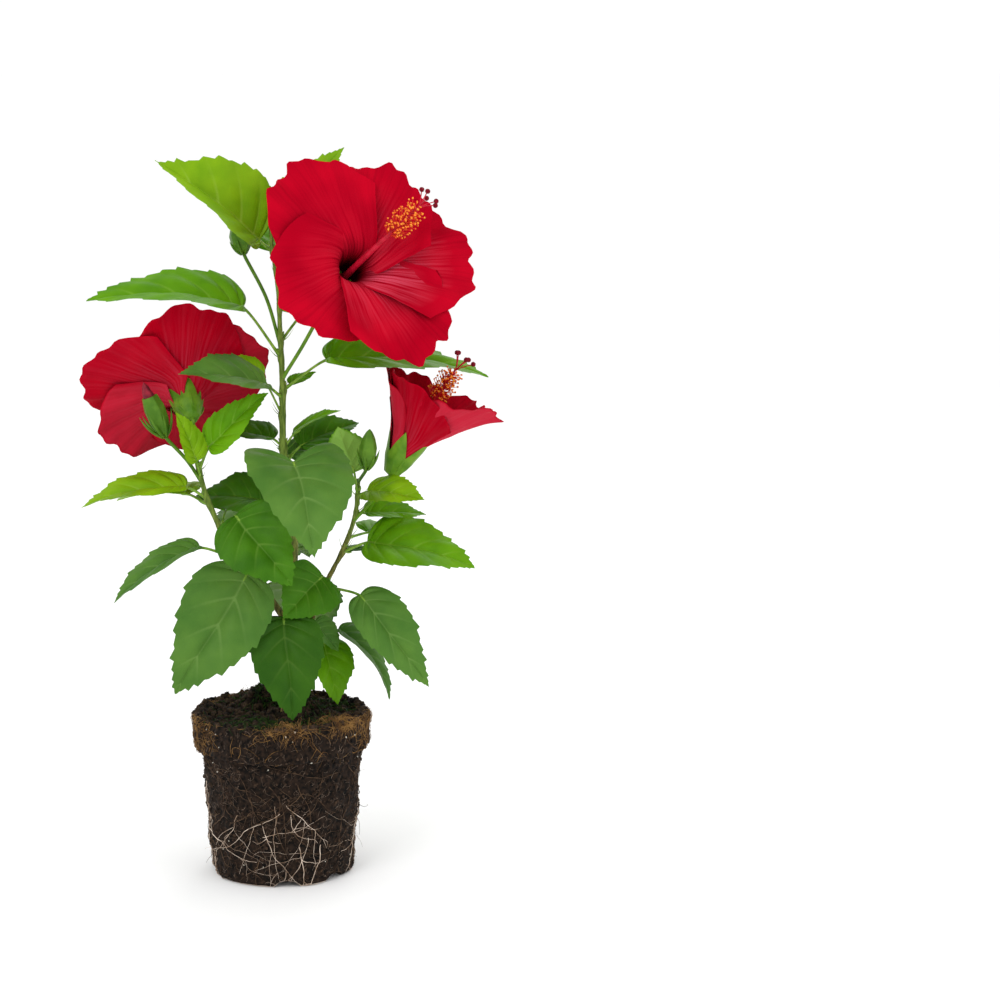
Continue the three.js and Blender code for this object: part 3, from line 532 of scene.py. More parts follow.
def petal_material():
    """Living petal: a velvety skin, near black at the throat, with fine veins that fan out along it.

    The throat's near black is the petal's own dark eye, spread further as painted shade inside the
    funnel. Past the throat the skin between the veins is paler, partly real pale veining and partly a
    painted highlight, strongest on the petals with a large share of pale veins. The back shows the veins
    lighter than the skin and carries a painted highlight of lighter red on those petals. The velvet hides
    nearly all gloss.
    """
    shading = {"Roughness": 0.6, "IOR": 1.38, "Specular IOR Level": 0.02}
    made, tree, shader = new_material("red_petal", shading)
    red = {part: colour(text) for part, text in RED_PETAL.items()}
    place = node(tree, "TexCoord").outputs["Object"]
    along = node(tree, "Attribute", attribute_name="along").outputs["Fac"]
    across = node(tree, "Attribute", attribute_name="across").outputs["Fac"]
    patches = node(tree, "TexNoise", {"Vector": place, "Scale": 1 / (26 * MM), "Detail": 1.0}).outputs[0]
    patches = node(tree, "MapRange", {0: patches, 1: 0.3, 2: 0.7, 3: 0.0, 4: 1.0}).outputs[0]
    front = node(tree, "Mix", {0: patches, 6: red["deep"], 7: red["bright"]}, data_type="RGBA").outputs[2]
    stretched = node(tree, "CombineXYZ", {"X": across, "Y": along}).outputs[0]
    stretched = node(tree, "Mapping", {"Vector": stretched, "Scale": (36.0, 1.4, 1.0)}).outputs[0]
    veins = node(tree, "TexNoise", {"Vector": stretched, "Scale": 1.0, "Detail": 3.0}).outputs[0]
    dark_lines = node(tree, "MapRange", {0: veins, 1: 0.48, 2: 0.7, 3: 0.0, 4: 0.16}).outputs[0]
    front = node(tree, "Mix", {0: dark_lines, 6: front, 7: red["throat"]}, data_type="RGBA").outputs[2]
    light_lines = node(tree, "MapRange", {0: veins, 1: 0.6, 2: 0.3, 3: 0.0, 4: 0.7}).outputs[0]
    # Pale rays past the throat: partly real pale veins, partly a painted highlight weighted by each petal's
    # pale mark
    rise = node(tree, "MapRange", {0: along, 1: 0.2, 2: 0.32, 3: 0.0, 4: 1.0}).outputs[0]
    fall = node(tree, "MapRange", {0: along, 1: 0.36, 2: 0.86, 3: 1.0, 4: 0.0}).outputs[0]
    ring = node(tree, "Math", {0: rise, 1: fall}, operation="MULTIPLY").outputs[0]
    pale = node(tree, "Attribute", attribute_name="pale").outputs["Fac"]
    ring = node(tree, "Math", {0: ring, 1: pale}, operation="MULTIPLY").outputs[0]
    pale_and_highlight_rays = node(tree, "Math", {0: ring, 1: light_lines}, operation="MULTIPLY").outputs[0]
    front = node(tree, "Mix", {0: pale_and_highlight_rays, 6: front, 7: red["pale_vein_and_highlight"]}, data_type="RGBA").outputs[2]
    # The throat's own dark eye, reaching out along the veins and spread far enough to be painted shade
    # inside the funnel
    reach = node(tree, "Math", {0: veins, 1: -0.35, 2: along}, operation="MULTIPLY_ADD").outputs[0]
    depth = node(tree, "MapRange", {0: reach, 1: -0.03, 2: 0.25, 3: 1.0, 4: 0.0}).outputs[0]
    front = node(tree, "Mix", {0: depth, 6: front, 7: red["throat"]}, data_type="RGBA").outputs[2]
    base = node(tree, "MapRange", {0: along, 1: 0.1, 2: 0.9, 3: 0.4, 4: 0.05}).outputs[0]
    ribs = node(tree, "Math", {0: base, 1: light_lines}, operation="MULTIPLY").outputs[0]
    behind = node(tree, "Mix", {0: patches, 6: red["deep"], 7: red["back"]}, data_type="RGBA").outputs[2]
    # Petals with a pale share get a lighter back red, a painted highlight; the lighter ribs are real pale
    # veins
    back_highlight_share = node(tree, "Math", {0: pale, 1: 0.7}, operation="MULTIPLY").outputs[0]
    behind = node(tree, "Mix", {0: back_highlight_share, 6: behind, 7: red["painted_highlight_back"]}, data_type="RGBA").outputs[2]
    behind = node(tree, "Mix", {0: ribs, 6: behind, 7: red["pale_vein_and_highlight"]}, data_type="RGBA").outputs[2]
    side = node(tree, "Attribute", attribute_name="side").outputs["Fac"]
    both = node(tree, "Mix", {0: side, 6: behind, 7: front}, data_type="RGBA").outputs[2]
    finish_surface(tree, shader, both, veins, 0.3 * MM)
    return made


def speckled_skin(name):
    """A skin of two colours in patches of a real size, with relief of a real depth in the same patches."""
    first, second, size, roughness, depth = SKINS[name]
    made, tree, shader = new_material(name, {"Roughness": roughness, "Specular IOR Level": 0.2})
    place = node(tree, "TexCoord").outputs["Object"]
    patches = node(tree, "TexNoise", {"Vector": place, "Scale": 1 / (size * MM), "Detail": 4.0}).outputs[0]
    spread = node(tree, "MapRange", {0: patches, 1: 0.36, 2: 0.64, 3: 0.0, 4: 1.0}).outputs[0]
    paint = node(tree, "Mix", {0: spread, 6: colour(first), 7: colour(second)}, data_type="RGBA").outputs[2]
    finish_surface(tree, shader, paint, patches, depth * MM)
    return made


def bark_material():
    """Young hibiscus bark: brown-grey and cracked low down, still smooth and green higher up.

    Its grain is 1.6 mm wide and runs along the stem, and the brown gives way to green between about 165 and
    265 mm of height.
    """
    made, tree, shader = new_material("young_bark", {"Roughness": 0.62, "Specular IOR Level": 0.25})
    ripe_dark, ripe_light = map(colour, RIPE_BARK)
    green_dark, green_light = map(colour, GREEN_BARK)
    place = node(tree, "TexCoord").outputs["Object"]
    height = node(tree, "SeparateXYZ", {0: place}).outputs["Z"]
    stretched = node(tree, "Mapping", {"Vector": place, "Scale": (1.0, 1.0, 0.22)}).outputs[0]
    grain = node(tree, "TexNoise", {"Vector": stretched, "Scale": 1 / (1.6 * MM), "Detail": 4.0}).outputs[0]
    spread = node(tree, "MapRange", {0: grain, 1: 0.38, 2: 0.64, 3: 0.0, 4: 1.0}).outputs[0]
    low = node(tree, "Mix", {0: spread, 6: ripe_dark, 7: ripe_light}, data_type="RGBA").outputs[2]
    high = node(tree, "Mix", {0: spread, 6: green_dark, 7: green_light}, data_type="RGBA").outputs[2]
    blur = node(tree, "TexNoise", {"Vector": place, "Scale": 1 / (22 * MM)}).outputs[0]
    level = node(tree, "Math", {0: blur, 1: 70 * MM, 2: height}, operation="MULTIPLY_ADD").outputs[0]
    ripe = node(tree, "MapRange", {0: level, 1: 0.20, 2: 0.30, 3: 0.0, 4: 1.0}).outputs[0]
    paint = node(tree, "Mix", {0: ripe, 6: low, 7: high}, data_type="RGBA").outputs[2]
    finish_surface(tree, shader, paint, grain, 0.35 * MM)
    return made


# ---- Stems ----


def stem_path(name, spacing=1.2):
    """Centre line of a stem as points in metres, about a spacing in millimetres apart."""
    route = np.array(STEMS[name][0], float)
    length = np.linalg.norm(np.diff(route, axis=0), axis=1).sum()
    return smooth_path(route * MM, int(length / spacing))


PATHS = {name: stem_path(name) for name in STEMS}


def on_stem(name, height):
    """The point of a stem's centre line at a height in millimetres, in metres."""
    path = PATHS[name]
    return np.array([np.interp(height * MM, path[:, 2], path[:, k]) for k in range(3)])


def joints_on(name):
    """Heights and bearings of all leaves on a stem."""
    rows = [row for row in LEAVES.values() if row[0] == name]
    return [(row[1], row[2][0]) for row in rows]


def stem_surface(name, sides=28):
    """A stem: a tube that tapers evenly, flares at the soil, swells at each joint and has an uneven skin.

    A joint adds a low bell curve along the stem, higher on the side where its leaf leaves.
    """
    _, foot, tip, flare, flare_height = STEMS[name]
    path = PATHS[name]
    share = np.linspace(0, 1, len(path))
    length = np.linalg.norm(np.diff(path, axis=0), axis=1).sum() / MM
    radius = (foot + (tip - foot) * share + flare * np.exp(-share * length / flare_height)) / 2
    out = ring_directions(path, sides)
    relief = 0.07 * radius[:, None] * np.ones(sides)
    for height, bearing in joints_on(name):
        bell = np.exp(-(((path[:, 2] / MM - height) / 3.2) ** 2))[:, None]
        facing = np.clip(out @ direction(bearing, 0), 0, 1) ** 2
        relief = relief + bell * (0.25 + 0.75 * facing) * 0.9
    skin = path[:, None] + out * radius[:, None, None] * MM
    relief = relief + 0.16 * noise(skin * [1, 1, 0.3], 2.2 * MM, 3) + 0.1 * noise(skin, 1.1 * MM, 4)
    return tubes(path[None], (radius[:, None] * 0.97 + relief)[None] * MM, sides)


# ---- Leaves ----


def midrib(length, sag, along):
    """Points and up directions, at shares of its length, of a midrib: an arc that bends down by its sag."""
    bend = math.radians(sag)
    heading = bend / 2 - bend * along
    zero = np.zeros_like(heading)
    point = np.stack([zero, length * (math.sin(bend / 2) - np.sin(heading)) / bend,
                      length * (np.cos(heading) - math.cos(bend / 2)) / bend], axis=-1)
    return point, np.stack([zero, -np.sin(heading), np.cos(heading)], axis=-1)


def leaf_teeth(number, turn, across, half, length, rng):
    """How far the margin's teeth stand out: each rises slowly, falls quickly and has a size of its own."""
    place = np.mod(number, BLADE["tooth_rows"]) / BLADE["tooth_rows"]
    saw = np.interp(place, [0, 0.72, 1], [0, 1, 0])
    beat = np.sin(2.3 * (number // BLADE["tooth_rows"]) + rng.uniform(0, 6))
    uneven = 0.75 + 0.45 * beat * np.sign(across)
    return saw * uneven * ease(turn, 0.6, 1.1) * np.clip(half / 5, 0, 1) * BLADE["tooth"] * length


def leaf_relief(row, number, turn, across, half, phases):
    """Height of each point of a blade above its midrib's arc.

    It adds up the fold, which rises evenly to both sides, a bulge between each two side veins, an arch from
    the midrib to the margin, waves along the margin, and a groove over the midrib.
    """
    _, _, _, (_, _, length, width), (_, _, fold), _ = row
    size = length / BLADE["usual_length"]
    side = np.abs(across)
    narrow = np.clip(3 * half / width, 0, 1)
    between = np.abs(np.sin(np.pi * number / (BLADE["rows"] / BLADE["veins"])))
    ripple = np.where(across < 0, np.sin(3.1 * turn + phases[0]), np.sin(3.4 * turn + phases[1]))
    ripple = ripple + 0.5 * np.sin(9 * turn + phases[1] + 2 * across)
    lift = math.sin(math.radians(fold)) * half * side**1.15
    lift = lift + BLADE["quilting"] * size * between * np.sin(np.pi * side**0.8) * narrow
    lift = lift + BLADE["arch"] * width * np.sin(np.pi * side) * narrow
    lift = lift + BLADE["wave"] * width * ripple * side**2 * np.sin(turn)
    return lift - BLADE["groove"] * size * np.exp(-((side / 0.06) ** 2)) * narrow


def blade(row, outline, dark, cell, rng):
    """A leaf blade in its own frame: +Y from base to tip, +X to its right, +Z up.

    Turn runs from the base round the margin to the tip, and across from the left margin over the midrib to
    the right. The half width goes as sin(turn) times a power of cos(turn / 2). Each row leaves the midrib
    behind the place where it meets the margin, as the side veins do, with a saw tooth every few rows. The
    back lies deeper under the midrib and the side veins.
    """
    _, _, _, (_, _, length, width), (_, sag, fold), _ = row
    lobe, point = outline
    number = np.arange(BLADE["rows"] + 1)[:, None]
    turn = np.linspace(0, np.pi, BLADE["rows"] + 1)[:, None]
    steps = np.linspace(-1, 1, BLADE["columns"] + 1)[None, :]
    across = np.sign(steps) * np.abs(steps) ** 1.3
    side = np.abs(across)
    fullness = np.sin(turn) * np.clip(np.cos(turn / 2), 0, 1) ** point
    widest = 2 * math.atan(1 / math.sqrt(1 + point))
    half = width / 2 * fullness / (math.sin(widest) * math.cos(widest / 2) ** point)
    middle = (1 - np.cos(turn)) / 2
    margin = middle - lobe * np.sin(turn) * np.clip(np.cos(turn / 2), 0, 1) ** 8
    saw = leaf_teeth(number, turn, across, half, length, rng)
    along = middle**2.3 + (margin - middle**2.3) * side**1.15 + 0.8 * saw / length * side**6
    half = half + saw * side**6 * np.where(half > 0, 1, 0)
    phases = rng.uniform(0, 2 * np.pi, 2)
    lift = leaf_relief(row, number, turn, across, half, phases)
    drift = 0.02 * length * np.sin(2 * middle * np.pi + phases[0]) * middle
    centre, up = midrib(length, sag, along)
    right = np.array([1.0, 0, 0])
    flat = (math.cos(math.radians(fold)) * half * across + drift * np.sin(turn))[..., None] * right
    front = centre + flat + lift[..., None] * up
    size = length / BLADE["usual_length"]
    spacing = BLADE["rows"] / BLADE["veins"]
    on_vein = np.clip(1 - 0.6 * np.abs((number + spacing / 2) % spacing - spacing / 2), 0, 1)
    thick = BLADE["thickness"] + BLADE["midrib"] * size * np.exp(-((side / 0.045) ** 2)) * (1 - middle)
    thick = thick + BLADE["side_rib"] * size * on_vein * (1 - side)
    thick = thick * (side < 1) * (np.sin(turn) > 0.001)
    back = front - thick[..., None] * up
    on_rib = np.clip(1 - side / 0.05, 0, 1)
    vein = np.maximum(on_vein * (1 - 0.7 * side), on_rib * (1 - 0.5 * middle))
    vein = vein * np.clip(np.sin(turn), 0, 1) ** 0.3
    # The leaf's darkening share, partly painted shade and partly a darker green, goes on every point
    marks = {"across": (1 + across + 0 * turn) / 2, "along": middle + 0 * across, "vein": vein,
             "dark": dark + 0 * vein}
    return two_faced(front * MM, back * MM, cell, **marks)


def leaf_place(row):
    """Where a leaf's blade starts, and its frame as three unit rows: right, forward and up."""
    stem, at, (bearing, rise, stalk), (heading, pitch, _, _), (roll, _, _), _ = row
    start = on_stem(stem, at) + stalk * MM * direction(bearing, rise)
    forward = direction(heading, pitch)
    level = direction(heading - 90, 0)
    upright = np.cross(level, forward)
    right = level * math.cos(math.radians(roll)) + upright * math.sin(math.radians(roll))
    return start, np.stack([right, forward, np.cross(right, forward)])


def leaf_stalk(row):
    """Way and radii of a leaf's stalk: from the stem to its junction and on under the midrib."""
    stem, at, _, (_, _, length, _), (_, sag, _), _ = row
    start, axes = leaf_place(row)
    share = np.array([min(0.15, 7 / length)])
    under = (midrib(length, sag, share)[0][0] - [0, 0, 1.0]) * MM
    path = smooth_path([on_stem(stem, at), start - 0.5 * MM * axes[2], start + under @ axes], 22)
    slim = min(1, 0.5 + length / 120)
    t = np.linspace(0, 1, 22)
    swelling = 0.35 * np.exp(-((t / 0.12) ** 2)) + 0.2 * np.exp(-(((t - 0.85) / 0.1) ** 2))
    return path, slim * (1.05 - 0.25 * t + swelling) * np.clip((1.02 - t) / 0.06, 0, 1) * MM


def moved(made, start, axes):
    """The surface turned into a frame of three unit rows and moved to its start."""
    return {**made, "points": start + made["points"] @ axes}


def stipules(rng):
    """Pairs of fine pointed threads at the foot of each leaf's stalk, curving up beside the stem."""
    paths = []
    for row in LEAVES.values():
        foot = on_stem(row[0], row[1])
        for side in (-38, 38):
            out = direction(row[2][0] + side, 20 + rng.uniform(-10, 10))
            reach = rng.uniform(5, 8.5) * MM
            t = np.linspace(0, 1, 7)[:, None]
            paths.append(foot + 1.6 * MM * out + reach * (t * out + 0.6 * t**2 * np.array([0, 0, 1])))
    return tubes(np.array(paths), np.tile(np.linspace(0.42, 0.06, 7) * MM, (len(paths), 1)), 5)


def axil_buds(rng):
    """A small bud above the foot of each leaf's stalk: a short spindle that leans out from the stem."""
    paths = []
    for row in LEAVES.values():
        foot = on_stem(row[0], row[1] + 2.5)
        out = direction(row[2][0] + rng.uniform(-15, 15), 55)
        t = np.linspace(0, 1, 9)[:, None]
        paths.append(foot + (1.2 + rng.uniform(3.4, 5.2) * t) * MM * out)
    swell = np.array([0.5, 0.85, 1.0, 1.05, 1.0, 0.85, 0.62, 0.35, 0.08]) * 1.15 * MM
    return tubes(np.array(paths), np.tile(swell, (len(paths), 1)), 8)


# ---- Flowers ----


def flower_place(flower):
    """Where a flower's petals start, and its frame as three unit rows: its side, its top and its axis."""
    bearing, rise = flower["axis"]
    axis = direction(bearing, rise)
    side = direction(bearing + 90, 0)
    return np.array(flower["base"]) * MM, np.stack([side, np.cross(axis, side), axis])


def petal_curve(flower, length, opening, curl):
    """A petal's middle line: shares of its length, and its distance from the axis, height and slope there.

    It leaves the tube at the throat's slope, bends to its opening and curls back towards its end.
    """
    share = np.linspace(0, 1.1, 120)
    even = share * length / np.mean([row[1] for row in flower["petals"]])
    slope = PETAL["throat"] + (opening - PETAL["throat"]) * ease(even, *PETAL["bend"])
    slope = np.radians(slope + curl * ease(share, 0.7, 1))
    stride = length * (share[1] - share[0])
    radius = PETAL["tube"] + np.concatenate([[0], np.cumsum(np.sin(slope[:-1]) * stride)])
    height = np.concatenate([[0], np.cumsum(np.cos(slope[:-1]) * stride)])
    return share, (radius, height, slope)


def petal_relief(flower, share, across, phases):
    """How far each point of a petal stands out from its smooth sheet, towards its front.

    It adds up waves of four lengths that grow towards the margin, a tilt that lays one side over the next
    petal, a groove along the middle, fine pleats, and a hollow across that deepens outwards.
    """
    side = np.abs(across)
    edge = ease(share * (0.75 + 0.25 * side), 0.45, 1.0)
    wave = (np.sin(6.5 * across + phases[0] + 1.5 * share) + 0.6 * np.sin(12.5 * across + phases[1])
            + 0.5 * np.sin(5 * share * across + phases[2]) + 0.35 * np.sin(23 * across + phases[3]))
    out = PETAL["wave"] * flower["ruffle"] * wave * edge * share
    out = out + PETAL["overlap"] * across * ease(share, 0.03, 0.35)
    out = out - PETAL["groove"] * np.exp(-((across / 0.12) ** 2)) * (1 - share) * ease(share, 0.1, 0.3)
    pleats = np.cos(24 * across + phases[4]) * ease(share, 0.1, 0.5) * (1 - 0.5 * share)
    return out + PETAL["pleat"] * pleats + (1.0 - flower["wrap"]) * PETAL["hollow"] * side**2 * share


def petal(flower, number, cell, rng):
    """One petal in its flower's frame, +Z along the axis.

    Its half width rises from a narrow claw to a broad round end with a scalloped margin, and its sides lie
    partly on the circle round the axis and partly straight across it.
    """
    middle, length, half, opening, pale = flower["petals"][number]
    share = np.linspace(0, 1, PETAL["rows"] + 1)[:, None]
    across = np.linspace(-1, 1, PETAL["columns"] + 1)[None, :]
    side = np.abs(across)
    scallop = 0.028 * np.sin(9 * across + 2 * number) + 0.018 * np.sin(21 * across + 5 * number)
    reach = share * (1 - 0.3 * side**2.6) * (1 + flower["ruffle"] * scallop * share**3)
    at, curve = petal_curve(flower, length, opening, rng.uniform(4, 16))
    r, h, s = (np.interp(reach, at, values) for values in curve)
    lateral = across * half * (PETAL["claw"] + (1 - PETAL["claw"]) * share**1.15)
    angle = math.radians(middle) + flower["wrap"] * lateral / np.maximum(r, 12)
    chord = (1 - flower["wrap"]) * lateral
    out = petal_relief(flower, share, across, rng.uniform(0, 2 * np.pi, 5))
    r = r - out * np.cos(s)
    h = h + out * np.sin(s)
    sine, cosine = np.sin(angle), np.cos(angle)
    front = np.stack([r * sine + chord * cosine, r * cosine - chord * sine, h], axis=-1)
    crumple = np.stack([noise(front + 40 * k, 7.0, number) for k in range(3)], axis=-1)
    front = front + 0.5 * share[..., None] * crumple
    normal = np.stack([-np.cos(s) * sine, -np.cos(s) * cosine, np.sin(s)], axis=-1)
    thick = PETAL["thickness"] * (side < 1) * (share < 1) * (share > 0)
    back = front - thick[..., None] * normal
    # The pale mark weighs pale veins and a painted highlight on the front, and a painted highlight on the
    # back
    marks = {"across": (1 + across + 0 * share) / 2, "along": share + 0 * across,
             "pale": pale + 0 * share + 0 * across}
    return moved(two_faced(front * MM, back * MM, cell, **marks), *flower_place(flower))


def column_path(flower, count):
    """The staminal column's centre line: it leans further over the further it is out along the axis."""
    length, lean, bearing = flower["column"]
    share = np.linspace(0.01, 1, count)[:, None]
    bend = math.radians(lean) * share
    turn = math.radians(bearing)
    sideways = np.sin(bend) * [math.sin(turn), math.cos(turn)]
    start, axes = flower_place(flower)
    return start + (length * MM * share * np.concatenate([sideways, np.cos(bend)], axis=1)) @ axes


def column_tube(path):
    """The column itself: it tapers evenly and swells at its foot by a bell curve."""
    share = np.linspace(0, 1, len(path))
    swelling = COLUMN["swelling"] * np.exp(-((share / 0.04) ** 2))
    return tubes(path[None], ((COLUMN["radius"] - COLUMN["loss"] * share + swelling) * MM)[None], 14)


def column_frame(path):
    """Unit vectors along the column's centre line, and two square to it and to each other."""
    way = unit(np.gradient(path, axis=0))
    first = unit(np.cross(way, [0.3, 0.1, 0.95]))
    return way, first, np.cross(way, first)


def threads_and_heads(path, rng):
    """The threads, which stand round the column's outer part on a spiral, and a pollen head on each tip.

    A thread leaves the column squarely and bends towards the column's tip by the square of the way along
    it. A head is a short spindle across the thread, bent like a kidney.
    """
    count, share = COLUMN["threads"], np.linspace(0, 1, len(path))
    at = np.linspace(*COLUMN["between"], count) + rng.uniform(-0.01, 0.01, count)
    turn = 2.4 * np.arange(count) + rng.uniform(-0.3, 0.3, count)
    centre, along, one, two = (np.stack([np.interp(at, share, line[:, k]) for k in range(3)], axis=1)
                               for line in (path, *column_frame(path)))
    out = np.cos(turn)[:, None] * one + np.sin(turn)[:, None] * two
    reach = (rng.uniform(*COLUMN["reach"], count) * (0.75 + 0.5 * (1 - at)) * MM)[:, None]
    t = np.linspace(0, 1, 6)[None, :, None]
    threads = centre[:, None] + reach[:, None] * (t * out[:, None] + (0.45 * t**2) * along[:, None])
    filaments = tubes(threads, np.tile(np.linspace(*COLUMN["thread"], 6) * MM, (count, 1)), 5)
    across = unit(np.cross(out, along + rng.normal(0, 0.5, (count, 3))))
    s = np.linspace(-1, 1, 7)
    kidney = s[:, None] * across[:, None] * 0.9 - (s**2)[:, None] * out[:, None] * 0.5
    swell = np.sqrt(np.clip(1.02 - s**2, 0, 1)) * COLUMN["head"] * MM
    sizes = np.tile(swell, (count, 1)) * rng.uniform(0.85, 1.25, (count, 1))
    return filaments, tubes(threads[:, -1:] + kidney * MM, sizes, 7)


def branches_and_pads(path):
    """The branches at the column's end, which spread like a crown, and the round pad on each."""
    way, first, second = (line[-1] for line in column_frame(path))
    count, t, s = COLUMN["branches"], np.linspace(0, 1, 9)[:, None], np.linspace(-1, 1, 9)
    branches, pads = [], []
    for k in range(count):
        turn = 2 * math.pi * k / count + 0.4
        lean = math.cos(turn) * first + math.sin(turn) * second
        branches.append(path[-1] + COLUMN["branch"] * MM * (t * way + 0.62 * t**1.5 * lean))
        pads.append(branches[-1][-1] + 1.7 * MM * (s[:, None] + 0.5) * unit(way + 0.6 * lean))
    styles = tubes(np.array(branches), np.full((count, len(t)), COLUMN["style"] * MM), 6)
    round_end = np.sqrt(np.clip(1.01 - s**2, 0, 1)) * COLUMN["pad"] * MM
    return styles, tubes(np.array(pads), np.tile(round_end, (count, 1)), 12)


def cup(start, axes, cell, rng, scale):
    """Calyx: a cup with five pointed sepals that lean outwards.

    The radius swells from the foot to the middle and opens to the sepals' tips. The edge's height falls
    from each tip to the dip between two sepals, and each sepal has a ridge along its middle.
    """
    turn = np.linspace(0, 2 * np.pi, 61)[None, :]
    share = np.linspace(0, 1, 23)[:, None]
    on_sepal = np.abs(((turn / (2 * np.pi) * 5) % 1) * 2 - 1)
    top = CALYX["valley"] + (CALYX["sepal"] - CALYX["valley"]) * on_sepal**1.1
    height = share * top
    levels = [0, 1.2, CALYX["floor"], CALYX["middle_at"], CALYX["valley"], CALYX["sepal"]]
    radii = [1.2, 4.4, CALYX["foot"], CALYX["middle"], CALYX["middle"] + 0.6, CALYX["spread"]]
    radius = np.interp(height, levels, radii)
    radius = radius + 0.45 * on_sepal**6 + 0.3 * np.sin(3 * turn + rng.uniform(0, 6)) * share
    height = height - CALYX["floor"]
    out = np.stack([np.sin(turn) + 0 * share, np.cos(turn) + 0 * share], axis=-1)
    outer = np.concatenate([radius[..., None] * out, height[..., None]], axis=-1)
    wall = (0.7 * (1 - share**3) * np.clip(12 * share, 0, 1) + 0 * turn)[..., None]
    inner = outer - wall * np.concatenate([out, 0 * height[..., None]], axis=-1)
    marks = {"across": turn / (2 * np.pi) + 0 * share, "along": share + 0 * turn}
    made = two_faced(outer * scale * MM, inner * scale * MM, cell, **marks)
    made["faces"] = made["faces"][:, ::-1]
    return moved(made, start, axes)


def bracts(start, axes, count, length, rng, radius=4.6):
    """Ring of narrow green bracts round the foot of a calyx: thin pointed tubes that curve out and up."""
    t = np.linspace(0, 1, 12)[:, None]
    paths = []
    for k in range(count):
        turn = 2 * math.pi * (k + rng.uniform(-0.12, 0.12)) / count
        out = np.array([math.sin(turn), math.cos(turn), 0])
        reach = length * rng.uniform(0.85, 1.12)
        spread = rng.uniform(0.35, 0.6)
        way = (radius - 2 + 2 * t + reach * spread * t * (1.2 - 0.5 * t)) * out
        paths.append(start + ((way + [0, 0, 1] * (reach * (0.75 * t + 0.15 * t**2) - 1.5)) * MM) @ axes)
    width = np.array([0.7, 0.85, 1, 1.08, 1.1, 1.06, 1, 0.9, 0.75, 0.55, 0.32, 0.08]) * MM
    return tubes(np.array(paths), np.tile(width, (count, 1)), 8)


def flower_stalk(flower):
    """A flower's stalk: a tube from the stem to the calyx, with a swollen joint a third from its end."""
    start, axes = flower_place(flower)
    end = [start / MM - back * axes[2] for back in (6, 1.8)]
    path = smooth_path(np.array([on_stem(*flower["on"]) / MM, *flower["via"], *end]) * MM, 60)
    t = np.linspace(0, 1, 60)
    foot, joint = np.exp(-((t / 0.05) ** 2)), np.exp(-(((t - 0.68) / 0.02) ** 2))
    radius = 1.25 + 0.4 * foot + 0.3 * joint + 0.5 * ease(t, 0.9, 1)
    return tubes(path[None], (radius * MM)[None], 12)


# ---- Buds ----


def frame_along(axis):
    """Three unit rows with the given direction last."""
    axis = unit(np.asarray(axis, float))
    side = unit(np.cross(axis, [0.2, 0.95, 0.1]))
    return np.stack([side, np.cross(axis, side), axis])


def bud_parts(row, rng):
    """A bud: its stalk, its green calyx as a spindle with five ridges, its rolled petals and its bracts.

    The spindle's radius follows a profile from base to tip. The petals are a second spindle, with spiral
    ridges, that comes out of the first.
    """
    on, via, base, tip, diameter, share = row
    base, tip = np.array(base) * MM, np.array(tip) * MM
    axes = frame_along(tip - base)
    route = [on_stem(*on), *(np.array(v) * MM for v in via), base, base + 0.15 * (tip - base)]
    stalk = tubes(smooth_path(route, 40)[None], np.full((1, 40), 1.2 * MM), 10)
    t = np.linspace(0, 1, 30)
    turn = np.linspace(0, 2 * np.pi, 40, endpoint=False)[None, :]
    profile = np.interp(t, [0, 0.06, 0.25, 0.5, 0.75, 0.92, 1], [0.25, 0.6, 0.92, 1, 0.72, 0.35, 0.04])
    top = 1 - 0.55 * share
    green = base + (t * top)[:, None] * (tip - base)
    body = np.interp(t * top, t, profile)[:, None]
    ridges = 1 + 0.16 * np.abs(np.cos(2.5 * turn)) ** 6 - 0.04 * np.abs(np.sin(2.5 * turn)) ** 5
    calyx = tubes(green[None], (diameter / 2 * MM * body * ridges)[None], 40)
    rolled = []
    if share:
        outer = 0.45 + 0.55 * t
        line = base + outer[:, None] * (tip - base)
        swirl = 1 + 0.1 * np.sin(3 * turn + 9 * t[:, None]) + 0.05 * np.sin(7 * turn + 5 * t[:, None])
        body = np.interp(outer, t, profile)[:, None] * (0.72 + 0.14 * ease(t, 0.4, 0.8)[:, None])
        rolled.append(tubes(line[None], (diameter / 2 * MM * body * swirl)[None], 40))
    reach = np.linalg.norm(tip - base) / MM
    return stalk, calyx, rolled, bracts(base, axes, 7, 0.55 * reach, rng, radius=3.4)


# ---- Root ball ----


def ball_outline():
    """The root ball's outline as radius and height: the underside, the wall, the rim band and the top."""
    base, rim, band, lip, edge = (BALL[part] for part in ("base", "rim", "band", "lip", "edge"))
    return np.array([
        (0, 0), (base - edge, 0), (base - 0.6, 0.8), (base, edge),
        (BALL["shoulder"], band), (rim - 1, band + 1), (rim, band + edge),
        (rim, lip - edge), (rim - 0.8, lip - 0.7), (rim - edge, lip),
        (rim - BALL["lip_width"], BALL["top"]), (0, BALL["top"] + 0.3),
    ]) * MM


OUTLINE = ball_outline()
OUTLINE_AT = np.concatenate([[0], np.cumsum(np.linalg.norm(np.diff(OUTLINE, axis=0), axis=1))])


